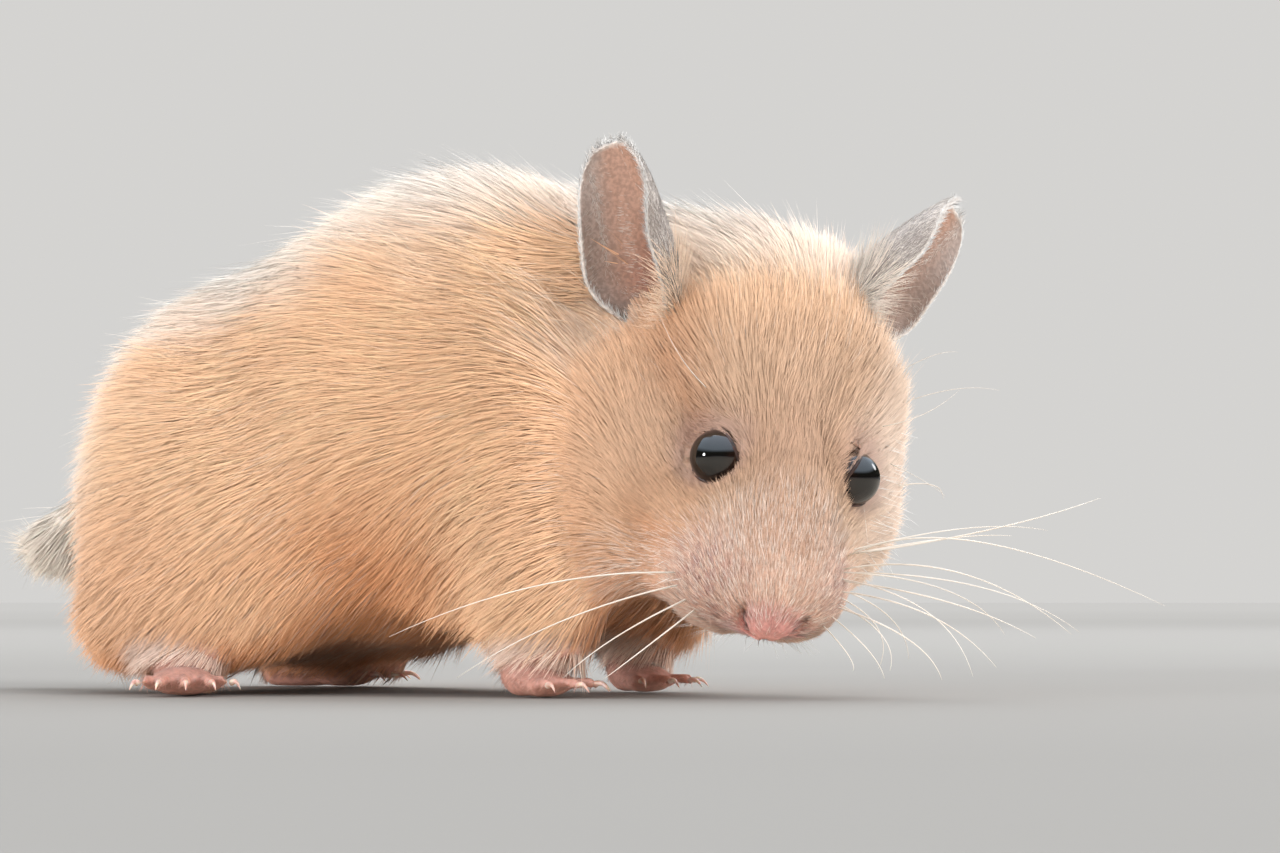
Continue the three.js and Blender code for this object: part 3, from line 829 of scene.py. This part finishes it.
def markings_and_painted_light(points, normals):
    """The coat's colour at places on the hide: its markings, with painted shade and painted highlight laid
    over them. The hide underneath has the same colours.
    """
    d, h = in_body(points), in_head(points)
    head = on_head(points, 0.75, 1.4)
    # Paler on top of the trunk: partly the coat's own colour, and partly a painted highlight where light
    # falls from above.
    pale_back_and_highlight = 0.92 * ramp(normals[:, 2] + 0.06 * waves(d, 9, 4), 0.3, 0.98) * (1 - head)
    colour = layered(
        APRICOT,
        (CREAM, 0.5 + 0.35 * waves(d, 26, 3)),
        (PALE, pale_back_and_highlight),
        (PALE, 0.8 * ramp(-d[:, 0], 28, 44) * ramp(d[:, 2], 8, 30)),
        # Painted shade: a darker, warmer tone on the underside, where little light reaches.
        (UNDERSIDE_SHADE, 0.8 * ramp(-normals[:, 2], 0.0, 0.7)),
        # Painted shade low down on the rump.
        (PAINTED_SHADE, 0.4 * ramp(-d[:, 0], 14, 32) * (1 - ramp(d[:, 2], 14, 28))))
    x, y, up = h[:, 0], h[:, 1], normals @ HEAD_AXES[:, 2]
    bridge = (1 - ramp(np.abs(y - NOSE_Y), 2.5, 7)) * ramp(x, -5, 1) * (1 - ramp(x, 11, 15))
    # The speckles fade on the far side of the muzzle: painted light on the lit side.
    dotted = ramp(waves(h, 1.2, 31), -0.2, 0.6) * (0.85 - 0.3 * ramp(y, 0, 4))
    facing = layered(
        FACE + 0 * colour,
        (CREAM, ramp(-x, 4, 14) * 0.8),
        # Paler on the upward faces behind the head: partly pale fur, partly a painted highlight from above.
        (PALE, 0.95 * ramp(-x, 11, 18) * ramp(up, 0.1, 0.8)),
        # Painted shade on the lower near side of the face, away from the lamps.
        (PAINTED_SHADE, 0.95 * ramp(-y, 5, 10) * (1 - ramp(up, 0.5, 1)) * (1 - ramp(x, 8, 12))),
        # Painted light: the far side of the face, on the lamps' side, is paler.
        (PALE, 0.45 * ramp(y, 4, 12) * (1 - ramp(x, 4, 10))),
        (MUZZLE, 0.85 * ramp(x, 5, 11)),
        (BRIDGE, 0.6 * bridge * ramp(up, 0.2, 0.7)),
        (FOLLICLE, whisker_pad(h) * dotted),
        (NOSE, 1 - ramp(reach(h, NOSE_TIP, (3, 3.9, 3.6)), 0.6, 1.35)),
        (SMOKE, 0.55 * (1 - ramp(off_eyes(h), 3.2, 5.2))))
    feet = on_feet(points)
    wrist = on_feet(points + [0, 0, -0.004]) * (1 - feet)
    tail = ramp(-d[:, 0], 42, 50)
    return layered(colour, (facing, head), (WRIST, 0.7 * wrist), (TAIL, 0.95 * tail), (PAW, feet))


def along_hide(ways, normals):
    return unit(ways - normals * (ways * normals).sum(1)[:, None])


def at_eyes(h, start, end):
    """For each eye its side, the ways to places from its middle, and 1 close to it falling to 0."""
    for side, eye in EYES.items():
        out = h - eye
        yield side, out, 1 - ramp(np.linalg.norm(out, axis=1), start, end)[:, None]


def lie(points, normals):
    """The way the coat lies: it fans out from the nose, then runs back and down to the tail."""
    d, h = in_body(points), in_head(points)
    fan = unit(h - (17, NOSE_Y, -7)) @ HEAD_AXES.T
    down = 0.12 + 0.95 * (1 - ramp(d[:, 2], 6, 34))
    back = unit(np.stack([-np.ones(len(d)), 0.12 * np.sin(d[:, 0] / 9), -down], axis=1))
    up = normals @ HEAD_AXES[:, 2]
    head = on_head(points, 0.85, 1.4)
    turning = 1.4 * ramp(np.linalg.norm(h - (17, 0, -7), axis=1), 8, 24) * (1 - ramp(up, 0.25, 0.85))
    way = (fan + turning[:, None] * back) * head[:, None] + back * (1 - head)[:, None] * 1.4
    for side, out, near in at_eyes(h, 3, 6.5):
        inner = (1 - ramp(h[:, 1], 4.5, 7)) * (side > 0)
        way += (0.25 - 0.7 * inner)[:, None] * near * (unit(out) @ HEAD_AXES.T)
    for spec in EARS.values():
        up_ear, _, front_ear = ear_ways(spec)
        near = 1 - ramp(off_ear_foot(h, spec), 4, 9)
        way += 1.3 * near[:, None] * ((up_ear - 0.2 * front_ear) @ HEAD_AXES.T)
    across = np.cross(normals, way)
    way = way + 0.16 * waves(d, 17, 11)[:, None] * across + 0.1 * waves(d, 7, 12)[:, None] * across
    return along_hide(way, normals)


def coat_length(points, normals):
    """The length of a tuft at places on the hide, in mm."""
    d, h = in_body(points), in_head(points)
    body = 7.2 + 0.8 * waves(d, 20, 5) - 3.4 * (1 - ramp(d[:, 2], 4, 16))
    up = normals @ HEAD_AXES[:, 2]
    head = 5.2 + (2.3 - 5.2) * ramp(h[:, 0], -12, 4) + 0.8 * ramp(-up, -0.3, 0.5)
    head = head + (1.15 - head) * ramp(h[:, 0], 5, 13)
    length = body + (head - body) * on_head(points, 0.8, 1.4)
    near_eye = off_eyes(h)
    inner_left = (1 - ramp(h[:, 1], 4, 6.5)) * ramp(h[:, 1], 0, 2)
    lash = 1.35 + 0.4 * (1 - ramp(np.abs(h[:, 1]), 3.5, 5.5)) + 1.3 * inner_left
    length = np.where(near_eye < 6, length + (lash - length) * (1 - ramp(near_eye, 3.2, 6)), length)
    length = length + (4.6 - length) * ramp(-d[:, 0], 48, 55)
    return length + (0.9 - length) * on_feet(points)


BELOW_ELBOW, ABOVE_ELBOW = 0.42, 0.58     # shares of a tuft's length
IN_A_LOCK, LOCK_REACH = 14, 3            # tufts that draw together, and how far off, in mm
OFF_FLOOR = 0.08                         # the least height of a hair, in mm


def build_tufts(name, roots, normals, ways, length, width, lift, colour, uv, seed, gather=0.15, facing=None):
    """One mesh of many tufts, each a closed blade: a root, two points at its widest, and a tip."""
    draw = np.random.default_rng(seed)
    n = len(roots)
    side = unit(np.cross(normals, ways))
    rise = np.radians(lift * np.clip(draw.normal(1, 0.25, n), 0.4, 1.8))
    ways = unit(ways + side * draw.normal(0, 0.13, n)[:, None])
    first = ways * np.cos(rise)[:, None] + normals * np.sin(rise)[:, None]
    second = unit(ways * np.cos(rise * 0.4)[:, None] + normals * np.sin(rise * 0.4)[:, None]
                  + side * draw.normal(0, 0.09, n)[:, None])
    length = length * np.clip(draw.normal(1, 0.2, n), 0.5, 1.6) * MM
    start = roots - normals * np.minimum(0.22 * MM, 0.1 * length)[:, None]
    elbow = start + first * (length * BELOW_ELBOW)[:, None]
    tip = elbow + second * (length * ABOVE_ELBOW)[:, None]
    shade = 1 + 0.05 * draw.normal(size=n)
    if gather:
        heads = draw.choice(n, max(n // IN_A_LOCK, 1), replace=False)
        tree = KDTree(len(heads))
        for k, i in enumerate(heads):
            tree.insert(roots[i], k)
        tree.balance()
        nearest = heads[[tree.find(p)[1] for p in roots]]
        apart = np.linalg.norm(roots - roots[nearest], axis=1)
        drawn = gather * (tip[nearest] - tip)
        tip = tip + drawn * np.clip(1 - apart / (LOCK_REACH * MM), 0, 1)[:, None]
        shade = shade * (1 + 0.035 * draw.normal(size=n))[nearest]
    elbow = start + BELOW_ELBOW * (tip - start) + normals * (0.4 * width * MM)[:, None]
    across = unit(np.cross(second, normals) + normals * draw.normal(0, 0.45, n)[:, None])
    half = across * (width * MM / 2)[:, None]
    points = np.stack([start, elbow - half, elbow + half, tip], axis=1)
    points[..., 2] = np.maximum(points[..., 2], OFF_FLOOR * MM)
    pattern = np.array([[0, 2, 1], [3, 1, 2], [0, 1, 3], [0, 3, 2]])
    corners = (np.arange(n)[:, None, None] * 4 + pattern).ravel()
    mesh = bpy.data.meshes.new(name)
    mesh.vertices.add(n * 4)
    mesh.vertices.foreach_set("co", points.ravel())
    mesh.loops.add(len(corners))
    mesh.loops.foreach_set("vertex_index", corners)
    mesh.polygons.add(len(corners) // 3)
    mesh.polygons.foreach_set("loop_start", np.arange(0, len(corners), 3))
    mesh.polygons.foreach_set("use_smooth", np.ones(len(corners) // 3, bool))
    mesh.update(calc_edges=True)
    tones = np.array([0.95, 1.0, 1.0, 1.05])
    each = np.clip(colour[:, None] * shade[:, None, None] * tones[:, None], 0, 0.97)
    rgba = np.concatenate([each, np.ones((n, 4, 1))], axis=2)
    mesh.attributes.new("coat_colour", "FLOAT_COLOR", "POINT").data.foreach_set("color", rgba.ravel())
    patch = np.array([[0, -1.5], [-1.2, 0], [1.2, 0], [0, 1.5]]) * 0.001
    spots = (uv[:, None] + patch).reshape(-1, 2)[corners]
    mesh.uv_layers.new(name="OFBake").data.foreach_set("uv", spots.ravel())
    # A lock scatters light as the coat does as a whole, so its shading leans to the hide's normals.
    facing = normals if facing is None else facing
    bulge = unit(half)
    soft = np.stack([facing, unit(facing - 0.35 * bulge), unit(facing + 0.35 * bulge), facing], axis=1)
    mesh.normals_split_custom_set_from_vertices(soft.reshape(-1, 3).tolist())
    return added(name, mesh)


# The hide is laid out flat once, and each tuft takes its place on that layout from its root.
lay_out(skin)
paint(skin, markings_and_painted_light(points_of(skin), normals_of(skin)))
speckled(skin_look, skin_shader, 1700, (0.38, 0.62), (0.86, 1.08), bump=(0.5, 0.00015))


def scatter(piece, density, seed):
    """Roots drawn evenly over a mesh, so many to the square mm, with normals and places on the layout."""
    draw = np.random.default_rng(seed)
    mesh = piece.data
    mesh.calc_loop_triangles()
    count = len(mesh.loop_triangles)
    corners, loops = (read(mesh.loop_triangles, key, 3, int) for key in ("vertices", "loops"))
    p, n, uv = points_of(piece), normals_of(piece), read(mesh.uv_layers["OFBake"].data, "uv", 2)
    a, b, c = (p[corners[:, k]] for k in range(3))
    area = np.linalg.norm(np.cross(b - a, c - a), axis=1) / 2 / MM**2
    most = np.maximum(density(p, n)[corners].max(1), density((a + b + c) / 3, unit(n[corners].mean(1))))
    share = area * most
    total = int(share.sum())
    order = np.searchsorted(np.cumsum(share) / share.sum(), (np.arange(total) + draw.random(total)) / total)
    order = np.minimum(order, count - 1)
    s, t = np.sqrt(draw.random(total)), draw.random(total)
    weight = np.stack([1 - s, s * (1 - t), s * t], axis=1)
    roots = (p[corners[order]] * weight[..., None]).sum(1)
    normals = unit((n[corners[order]] * weight[..., None]).sum(1))
    kept = draw.random(total) * most[order] < density(roots, normals)
    return roots[kept], normals[kept], (uv[loops[order]] * weight[..., None]).sum(1)[kept]


def coat_density(points, normals):
    """Tufts to the square millimetre."""
    h, head = in_head(points), on_head(points)
    density = 20 + 15 * head + 22 * head * ramp(h[:, 0], -6, 8)
    eyes = off_eyes(h)
    clear_of_lids = np.maximum(ramp(past_lids(h), 4, 7), ramp(eyes, 3.2, 3.4))
    density = density * clear_of_lids * (1 + 0.8 * (1 - ramp(eyes, 3.2, 5)))
    nose = reach(h, NOSE_TIP, (2.2, 2.6, 2.4))
    density = density * (0.25 + 0.75 * ramp(nose, 0.8, 1.15))
    density = density * (1 - in_ear(h)[0])
    bare = on_feet(points)
    under = bare * ramp(-normals[:, 2], 0.2, 0.6)
    return density * (1 - 0.55 * bare) * (1 - under)


roots, normals, spots = scatter(skin, coat_density, 7)
h = in_head(roots)
# The hide rises out of a hollow round each eye, so hairs there stand off it to clear its wall.
for side, out, near in at_eyes(h, 3.5, 4.4):
    gaze = about_eye(side)[1]
    away = unit(out - gaze * (out @ gaze)[:, None])
    normals = unit(normals + 2 * near * ((gaze - 0.5 * away) @ HEAD_AXES.T))
ways = lie(roots, normals)
lengths = coat_length(roots, normals)
colours = markings_and_painted_light(roots, normals)
d, head = in_body(roots), on_head(roots)
widths = 0.058 + 0.0085 * lengths
lifts = 17 + 6 * ramp(h[:, 0], 4, 12) * head + 8 * ramp(normals[:, 2], 0.75, 1) * head
in_cheek_fold = (1 - ramp(reach(np.abs(h), (4.5, 11.5, 10), (4, 4, 4)), 0.6, 1.4)) * (h[:, 2] < 0)
lifts = lifts + 18 * in_cheek_fold + 28 * (1 - ramp(off_eyes(h), 4.2, 6.5))
speck = np.random.default_rng(8).random(len(roots))
colours = mix(colours, FOLLICLE * 0.75, np.where(speck < 0.28, 0.75, 0) * whisker_pad(h) * head)
colours = mix(colours, PALE, np.where(speck > 0.7, 0.6, 0) * ramp(h[:, 0], 4, 8) * head)
lifts = lifts * (1 - 0.5 * ramp(-d[:, 0], 45, 49))
at_ears = np.maximum(*(1 - ramp(off_ear_foot(h, spec), 4, 9) for spec in EARS.values()))
stray = 0.15 + 1.6 * ramp(-d[:, 0], 46, 50) + 0.9 * at_ears
facings = normals + stray[:, None] * np.array([0, -0.5, 1])
for side, out, near in at_eyes(h, 4, 6.5):
    facings = facings + near * (1.2 * unit(out) + 0.8 * about_eye(side)[1]) @ HEAD_AXES.T
facings = unit(facings)
on, x = head > 0.5, d[:, 0]
region = np.select([on & (h[:, 0] > 3.5), on & (h[:, 0] > -5), on, x > 13, x > 3, x > -9, x > -21, x > -33],
                   range(8), 8)
NAMES = ["muzzle", "face", "crown", "chest", "shoulders", "ribs", "loins", "haunches", "rump"]
fur_look, fur_shader = finish_material("fur", (0.8, 0.6, 0.4), 0.65, Sheen_Weight=0.15, Sheen_Roughness=0.5)
speckled(fur_look, fur_shader, 1100, (0.38, 0.62), (0.95, 1.04))
for k, name in enumerate(NAMES):
    here = region == k
    coat = build_tufts("coat_" + name, roots[here], normals[here], ways[here], lengths[here], widths[here],
                       lifts[here], colours[here], spots[here], 100 + k, facing=facings[here])
    coat.data.materials.append(fur_look)
    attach(coat, "root")


# Long, fine guard hairs stand a little way out of the coat and soften its outline.
def guard_density(points, normals):
    h = in_head(points)
    bare = np.maximum(on_feet(points), on_head(points) * ramp(h[:, 0], -10, -4))
    return 1.5 * (1 - bare) * (1 - in_ear(h)[0])


roots, normals, spots = scatter(skin, guard_density, 19)
lengths = (1.18 * coat_length(roots, normals) + 0.3) * (1 - 0.35 * ramp(np.abs(normals[:, 1]), 0.5, 0.9))
guard = build_tufts("coat_guard_hairs", roots, normals, lie(roots, normals), lengths,
                    np.full(len(roots), 0.05), np.full(len(roots), 24.0),
                    mix(markings_and_painted_light(roots, normals), WHITE, 0.35), spots, 120, gather=0)
guard.data.materials.append(fur_look)
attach(guard, "root")

# The ears' own hairs: a pale fringe along the margins, a thin nap on both faces, and long cream
# hairs from the foot of the front margin across the opening.
for k, (name, spec) in enumerate(EARS.items()):
    ear = ears[name]["piece"]
    up, out, front = (way @ HEAD_AXES.T for way in ear_ways(spec))
    roots, normals, spots = scatter(ear, lambda points, normals: np.full(len(points), 42.0), 200 + k)
    u, v, face = on_ear(name, roots, normals)
    chance = np.random.default_rng(210 + k).random(len(roots))
    edge = np.maximum(np.abs(v), ramp(u, 0.88, 1.0))
    fringe = (edge > 0.94) & (u > 0.12)
    nap = ~fringe & (u > 0.1) & (chance < np.where(face > 0, 0.2 + 0.3 * ramp(-v, 0.2, 0.8), 0.75))
    crossing = ~fringe & (face < 0) & (v > 0.45) & (u > 0.03) & (u < 0.52)
    crossing &= chance > 0.3 + 0.7 * ramp(u, 0.25, 0.5)
    turn = 1.2 * v[:, None]
    outward = np.sign(v)[:, None] * (front * np.cos(turn) + out * np.abs(np.sin(turn)))
    nap_way = np.where(face[:, None] > 0, 0.3 * up + outward, up + 0.25 * outward)
    over = 0.85 * up - 0.75 * front + 0.5 * out + 0.25 * np.sin(9 * u)[:, None] * front
    light = unit(normals + np.array([0, 0, 0.8]))
    lit_edge, lit_tufts = unit(light + np.array([0, 0, 1.5])), unit(light + 1.2 * out)
    tuft_colour = mix(CREAM, WHITE, 0.3 if name == "right" else 0.7)
    for part, where, way, long, width, lift, colour, facing in (
            ("fringe", fringe, up + 0.5 * outward, 1.0, 0.06, 12, WHITE, lit_edge),
            ("nap", nap & ~crossing, nap_way, 1.2, 0.045, 12, tint(226, 216, 208), light),
            ("tufts", crossing, over, 4.4, 0.06, 30, tuft_colour, lit_tufts)):
        n, count = normals[where], int(where.sum())
        w = along_hide(way[where], n)
        hairs = build_tufts("ear_" + part + "_" + name, roots[where], n, w, np.full(count, long),
                            np.full(count, width), np.full(count, float(lift)),
                            np.broadcast_to(colour, (count, 3)), spots[where], 220 + k, gather=0,
                            facing=facing[where])
        hairs.data.materials.append(fur_look)
        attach(hairs, "root")

# ---------------------------------------------------------------- Whiskers
# Stiff, clear-white whiskers, thickest where they leave the pads beside the nose and drawn out to
# nothing at the tip, with finer bristles on the cheek and under the chin.
WHISKERS = {
    "right": [[(10.5, -11, -7), (14, -23, -6), (19.5, -37, -10.5)],
              [(11.5, -10, -7.5), (16.5, -20, -7.5), (22.5, -30, -11.5)],
              [(13.5, -9.5, -7.5), (18, -15, -7), (22.5, -20, -9)],
              [(14.5, -8.5, -8), (19, -12.5, -7.5), (22, -16, -9)]],
    "left": [[(5.5, 12, -3.5), (2.5, 22.5, -1), (-2.5, 34, 0.5)],
             [(6.5, 11, -3), (6, 20, 1), (10.5, 39.5, 1)],
             [(8.5, 10.5, -3.5), (9.5, 18.5, 0), (15, 29.5, 0)],
             [(9.5, 9.5, -5), (12.5, 17, -1), (16.5, 25.5, 0.5)],
             [(11.5, 9, -5), (14, 15, -1.5), (20, 21.5, -0.5)],
             [(13, 8.5, -6), (16.5, 13, -2.5), (21, 16.5, -2.5)]],
}
BRISTLES = [
    [(-3.4, 11.8, -0.4), (-2, 15, -0.4), (-0.9, 17.8, -1.1)],
    [(-10.3, 13, 1.2), (-11.4, 18, 3.4), (-11.5, 22.5, 4.2)],
    [(-13, 12, 2.5), (-14.5, 15.5, 4.5), (-15, 18, 5)],
    [(-4, 9.5, 4.5), (-4, 13, 7.5), (-6, 16, 9.5)],
    [(-5, -9, 5), (-6, -12.5, 8), (-9, -15, 10)],
]
FINE_WHISKERS = [
    [(5.5, 11.4, -3.7), (1.2, 19.9, -3.4), (-1.0, 29.8, -4.2)],
    [(5.9, 11.2, -4.1), (0.8, 19.0, -5.9), (-2.4, 27.2, -7.7)],
    [(9.2, 10.1, -4.3), (11.8, 19.2, 1.3), (16.7, 29.3, 2.7)],
    [(8.5, 10.3, -5.0), (6.7, 18.6, -6.5), (8.7, 26.4, -9.9)],
    [(9.7, 9.1, -4.9), (14.1, 14.1, -0.5), (21.9, 18.8, -0.0)],
    [(12.5, 7.8, -6.0), (14.6, 10.6, -4.3), (19.1, 12.0, -4.8)],
    [(13.6, 7.2, -6.4), (16.2, 9.1, -4.7), (19.7, 11.6, -5.4)],
    [(14.6, 6.2, -6.8), (16.6, 7.4, -5.4), (19.1, 8.5, -5.7)],
    [(10.5, 8.3, -5.7), (9.7, 12.7, -7.8), (11.9, 16.7, -12.2)],
    [(11.8, 8.5, -5.3), (13.5, 10.6, -4.8), (16.6, 12.0, -8.1)],
    [(-5.3, 14.1, -3.9), (-4.4, 16.7, -3.9), (-3.1, 18.7, -4.3)],
]


def bowed(route, rooted):
    """A smooth curve through three places, its start carried so far into the snout."""
    start, bend, tip = (np.array(place, float) for place in route)
    start = start + rooted * unit(np.array([6.5, NOSE_Y, -6]) - start)
    control = 2 * bend - (start + tip) / 2
    t = np.linspace(0, 1, 18)[:, None]
    return (1 - t) ** 2 * start + 2 * t * (1 - t) * control + t**2 * tip


whisker_look, whisker_shader = finish_material("whisker", tuple(tint(240, 234, 224)), 0.35,
                                               Subsurface_Weight=0.0)
mottled(whisker_look, whisker_shader, 160, (0, (*tint(222, 208, 192), 1)), (1, (*tint(248, 244, 238), 1)))


def hairs_along(name, routes, rooted, thick, thin, sides, ease=1.0):
    """One mesh of hairs along routes in the head's frame. Its sizes are in mm."""
    places = [from_head(bowed(route, rooted)) for route in routes]
    return tubes(name, places, thick * MM, thin * MM, sides, ease)


for side, routes in WHISKERS.items():
    whiskers = hairs_along("whiskers_" + side, routes, 3.2, 0.1, 0.014, 7, ease=0.7)
    whiskers.data.materials.append(whisker_look)
    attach(whiskers, "root")
    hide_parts(*[f"whisker_{side}_{i + 1}" for i in range(len(routes))])
bristles = together([hairs_along("bristles", BRISTLES, 0.0, 0.05, 0.01, 5),
                     hairs_along("fine", FINE_WHISKERS, 4.5, 0.085, 0.012, 6, ease=0.7)], "bristles")
bristles.data.materials.append(whisker_look)
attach(bristles, "root")


# Short white bristles stand under the chin, on the near cheek and along the far one.
def chin_density(points, normals):
    h = in_head(points)
    chin = 1 - ramp(reach(h, (9, NOSE_Y, -11), (7, 7, 3.5)), 0.8, 1.1)
    cheeks = 1 - ramp(reach(h, (8, -9, -6.5), (3.5, 3, 3)), 0.8, 1.1)
    far_cheek = 1 - ramp(reach(h, (0, 12, -3), (11, 4, 7)), 0.8, 1.1)
    return np.maximum(2.0 * chin, np.maximum(0.25 * cheeks, 0.8 * far_cheek)) * (points[:, 2] / MM < 40)


roots, normals, spots = scatter(skin, chin_density, 41)
ways = along_hide(0.7 * lie(roots, normals) + 0.6 * np.array([0, 0, -1]), normals)
beard = build_tufts("chin_bristles", roots, normals, ways, np.full(len(roots), 3.8),
                    np.full(len(roots), 0.045), np.full(len(roots), 38.0),
                    np.broadcast_to(WHITE, (len(roots), 3)), spots, 42, gather=0,
                    facing=unit(normals + np.array([0, -0.6, 1.2])))
beard.data.materials.append(fur_look)
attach(beard, "root")

# ---------------------------------------------------------------- Studio
# A plain pale floor under soft lamps, and the camera low in front of the animal's right shoulder.
bpy.ops.object.select_all(action="DESELECT")
bpy.ops.mesh.primitive_circle_add(vertices=96, radius=8, fill_type="NGON")
floor = bpy.context.object
floor.name = "floor"
# The camera sees a floor that darkens towards the animal. Other rays meet one warm tone on it.
floor_look, floor_shader = finish_material("floor", (0.6, 0.6, 0.6), 0.8, Specular_IOR_Level=0.0)
links = floor_look.node_tree.links
spot, far_off, spread = new_nodes(floor_look.node_tree, "TexCoord", "VectorMath", "MapRange")
shade, grain, rough = new_nodes(floor_look.node_tree, "ValToRGB", "TexNoise", "Bump")
seen_floor, path = new_nodes(floor_look.node_tree, "Mix", "LightPath")
far_off.operation = "LENGTH"
spread.inputs["From Max"].default_value = 3
set_stop(shade, 0, 0.05, (0.33, 0.328, 0.323, 1))
set_stop(shade, 1, 0.9, (0.66, 0.66, 0.656, 1))
for at, level in ((0.25, 0.5), (0.5, 0.62)):
    shade.color_ramp.elements.new(at).color = (level, level, level * 0.99, 1)
links.new(spot.outputs["Object"], far_off.inputs[0])
links.new(far_off.outputs["Value"], spread.inputs["Value"])
links.new(spread.outputs["Result"], shade.inputs["Fac"])
seen_floor.data_type = "RGBA"
seen_floor.inputs["A"].default_value = (0.56, 0.52, 0.46, 1)
links.new(path.outputs["Is Camera Ray"], seen_floor.inputs["Factor"])
links.new(shade.outputs["Color"], seen_floor.inputs["B"])
links.new(seen_floor.outputs["Result"], floor_shader.inputs["Base Color"])
grain.inputs["Scale"].default_value = 900
rough.inputs["Strength"].default_value, rough.inputs["Distance"].default_value = 0.1, 0.0001
links.new(spot.outputs["Object"], grain.inputs["Vector"])
links.new(grain.outputs["Fac"], rough.inputs["Height"])
links.new(rough.outputs["Normal"], floor_shader.inputs["Normal"])
floor.data.materials.append(floor_look)

# The world lights from all round. Glossy things see a cool sky over a dark horizon in it.
world = bpy.data.worlds.new("studio")
bpy.context.scene.world = world
world.use_nodes = True
nodes, links = world.node_tree.nodes, world.node_tree.links
plain = nodes["Background"]
plain.inputs["Color"].default_value, plain.inputs["Strength"].default_value = (0.80, 0.79, 0.775, 1), 1.17
seen, gloss, ray = new_nodes(world.node_tree, "Background", "Background", "LightPath")
seen.inputs["Color"].default_value = (0.66, 0.652, 0.637, 1)
sky, height, tones = new_nodes(world.node_tree, "TexCoord", "SeparateXYZ", "ValToRGB")
set_stop(tones, 0, 0, (0.5, 0.5, 0.5, 1))
set_stop(tones, 1, 1, (2.2, 2.5, 2.9, 1))
for at, level in ((0.06, (0.03, 0.03, 0.025, 1)), (0.3, (0.06, 0.07, 0.05, 1)), (0.5, (1.6, 1.9, 2.2, 1))):
    tones.color_ramp.elements.new(at).color = level
links.new(sky.outputs["Generated"], height.inputs["Vector"])
links.new(height.outputs["Z"], tones.inputs["Fac"])
links.new(tones.outputs["Color"], gloss.inputs["Color"])
for first, second, test in ((plain, gloss, "Is Glossy Ray"), (None, seen, "Is Camera Ray")):
    either = nodes.new("ShaderNodeMixShader")
    links.new(ray.outputs[test], either.inputs["Fac"])
    links.new((first or last).outputs[0], either.inputs[1])
    links.new(second.outputs[0], either.inputs[2])
    last = either
links.new(last.outputs[0], nodes["World Output"].inputs["Surface"])


def softbox(name, at, aim, size, watts, spread=180, mirrored=True):
    """A round, soft lamp turned to its aim. An unmirrored one doesn't show in glossy things."""
    lamp = bpy.data.lights.new(name, "AREA")
    lamp.shape, lamp.size, lamp.energy, lamp.spread = "DISK", size, watts, math.radians(spread)
    stand = added(name, lamp)
    stand.visible_glossy = mirrored
    stand.location = at
    stand.rotation_euler = (Vector(aim) - Vector(at)).to_track_quat("-Z", "Y").to_euler()


softbox("overhead", (-0.1, 0.4, 0.75), (0, 0, 0.03), 0.6, 3.6)
softbox("side", (0.8, -0.05, 0.4), (0, 0, 0.03), 0.4, 0.54, 60, mirrored=False)
softbox("rim", (0.5, 0.7, 0.42), (0, 0, 0.03), 0.3, 0.16, 60)
softbox("front", (-0.5, -0.8, 0.18), (-0.02, 0, 0.03), 0.14, 0.45, 60)

camera = added("camera", bpy.data.cameras.new("camera"))
camera.location = (0.16825, -0.33105, 0.010)
camera.rotation_euler = (math.radians(90 + 2.77), 0, math.radians(25))
camera.data.lens, camera.data.sensor_width = 100, 36
camera.data.clip_start, camera.data.clip_end = 0.01, 50
bpy.context.scene.camera = camera
bpy.context.scene.view_settings.view_transform = "Standard"
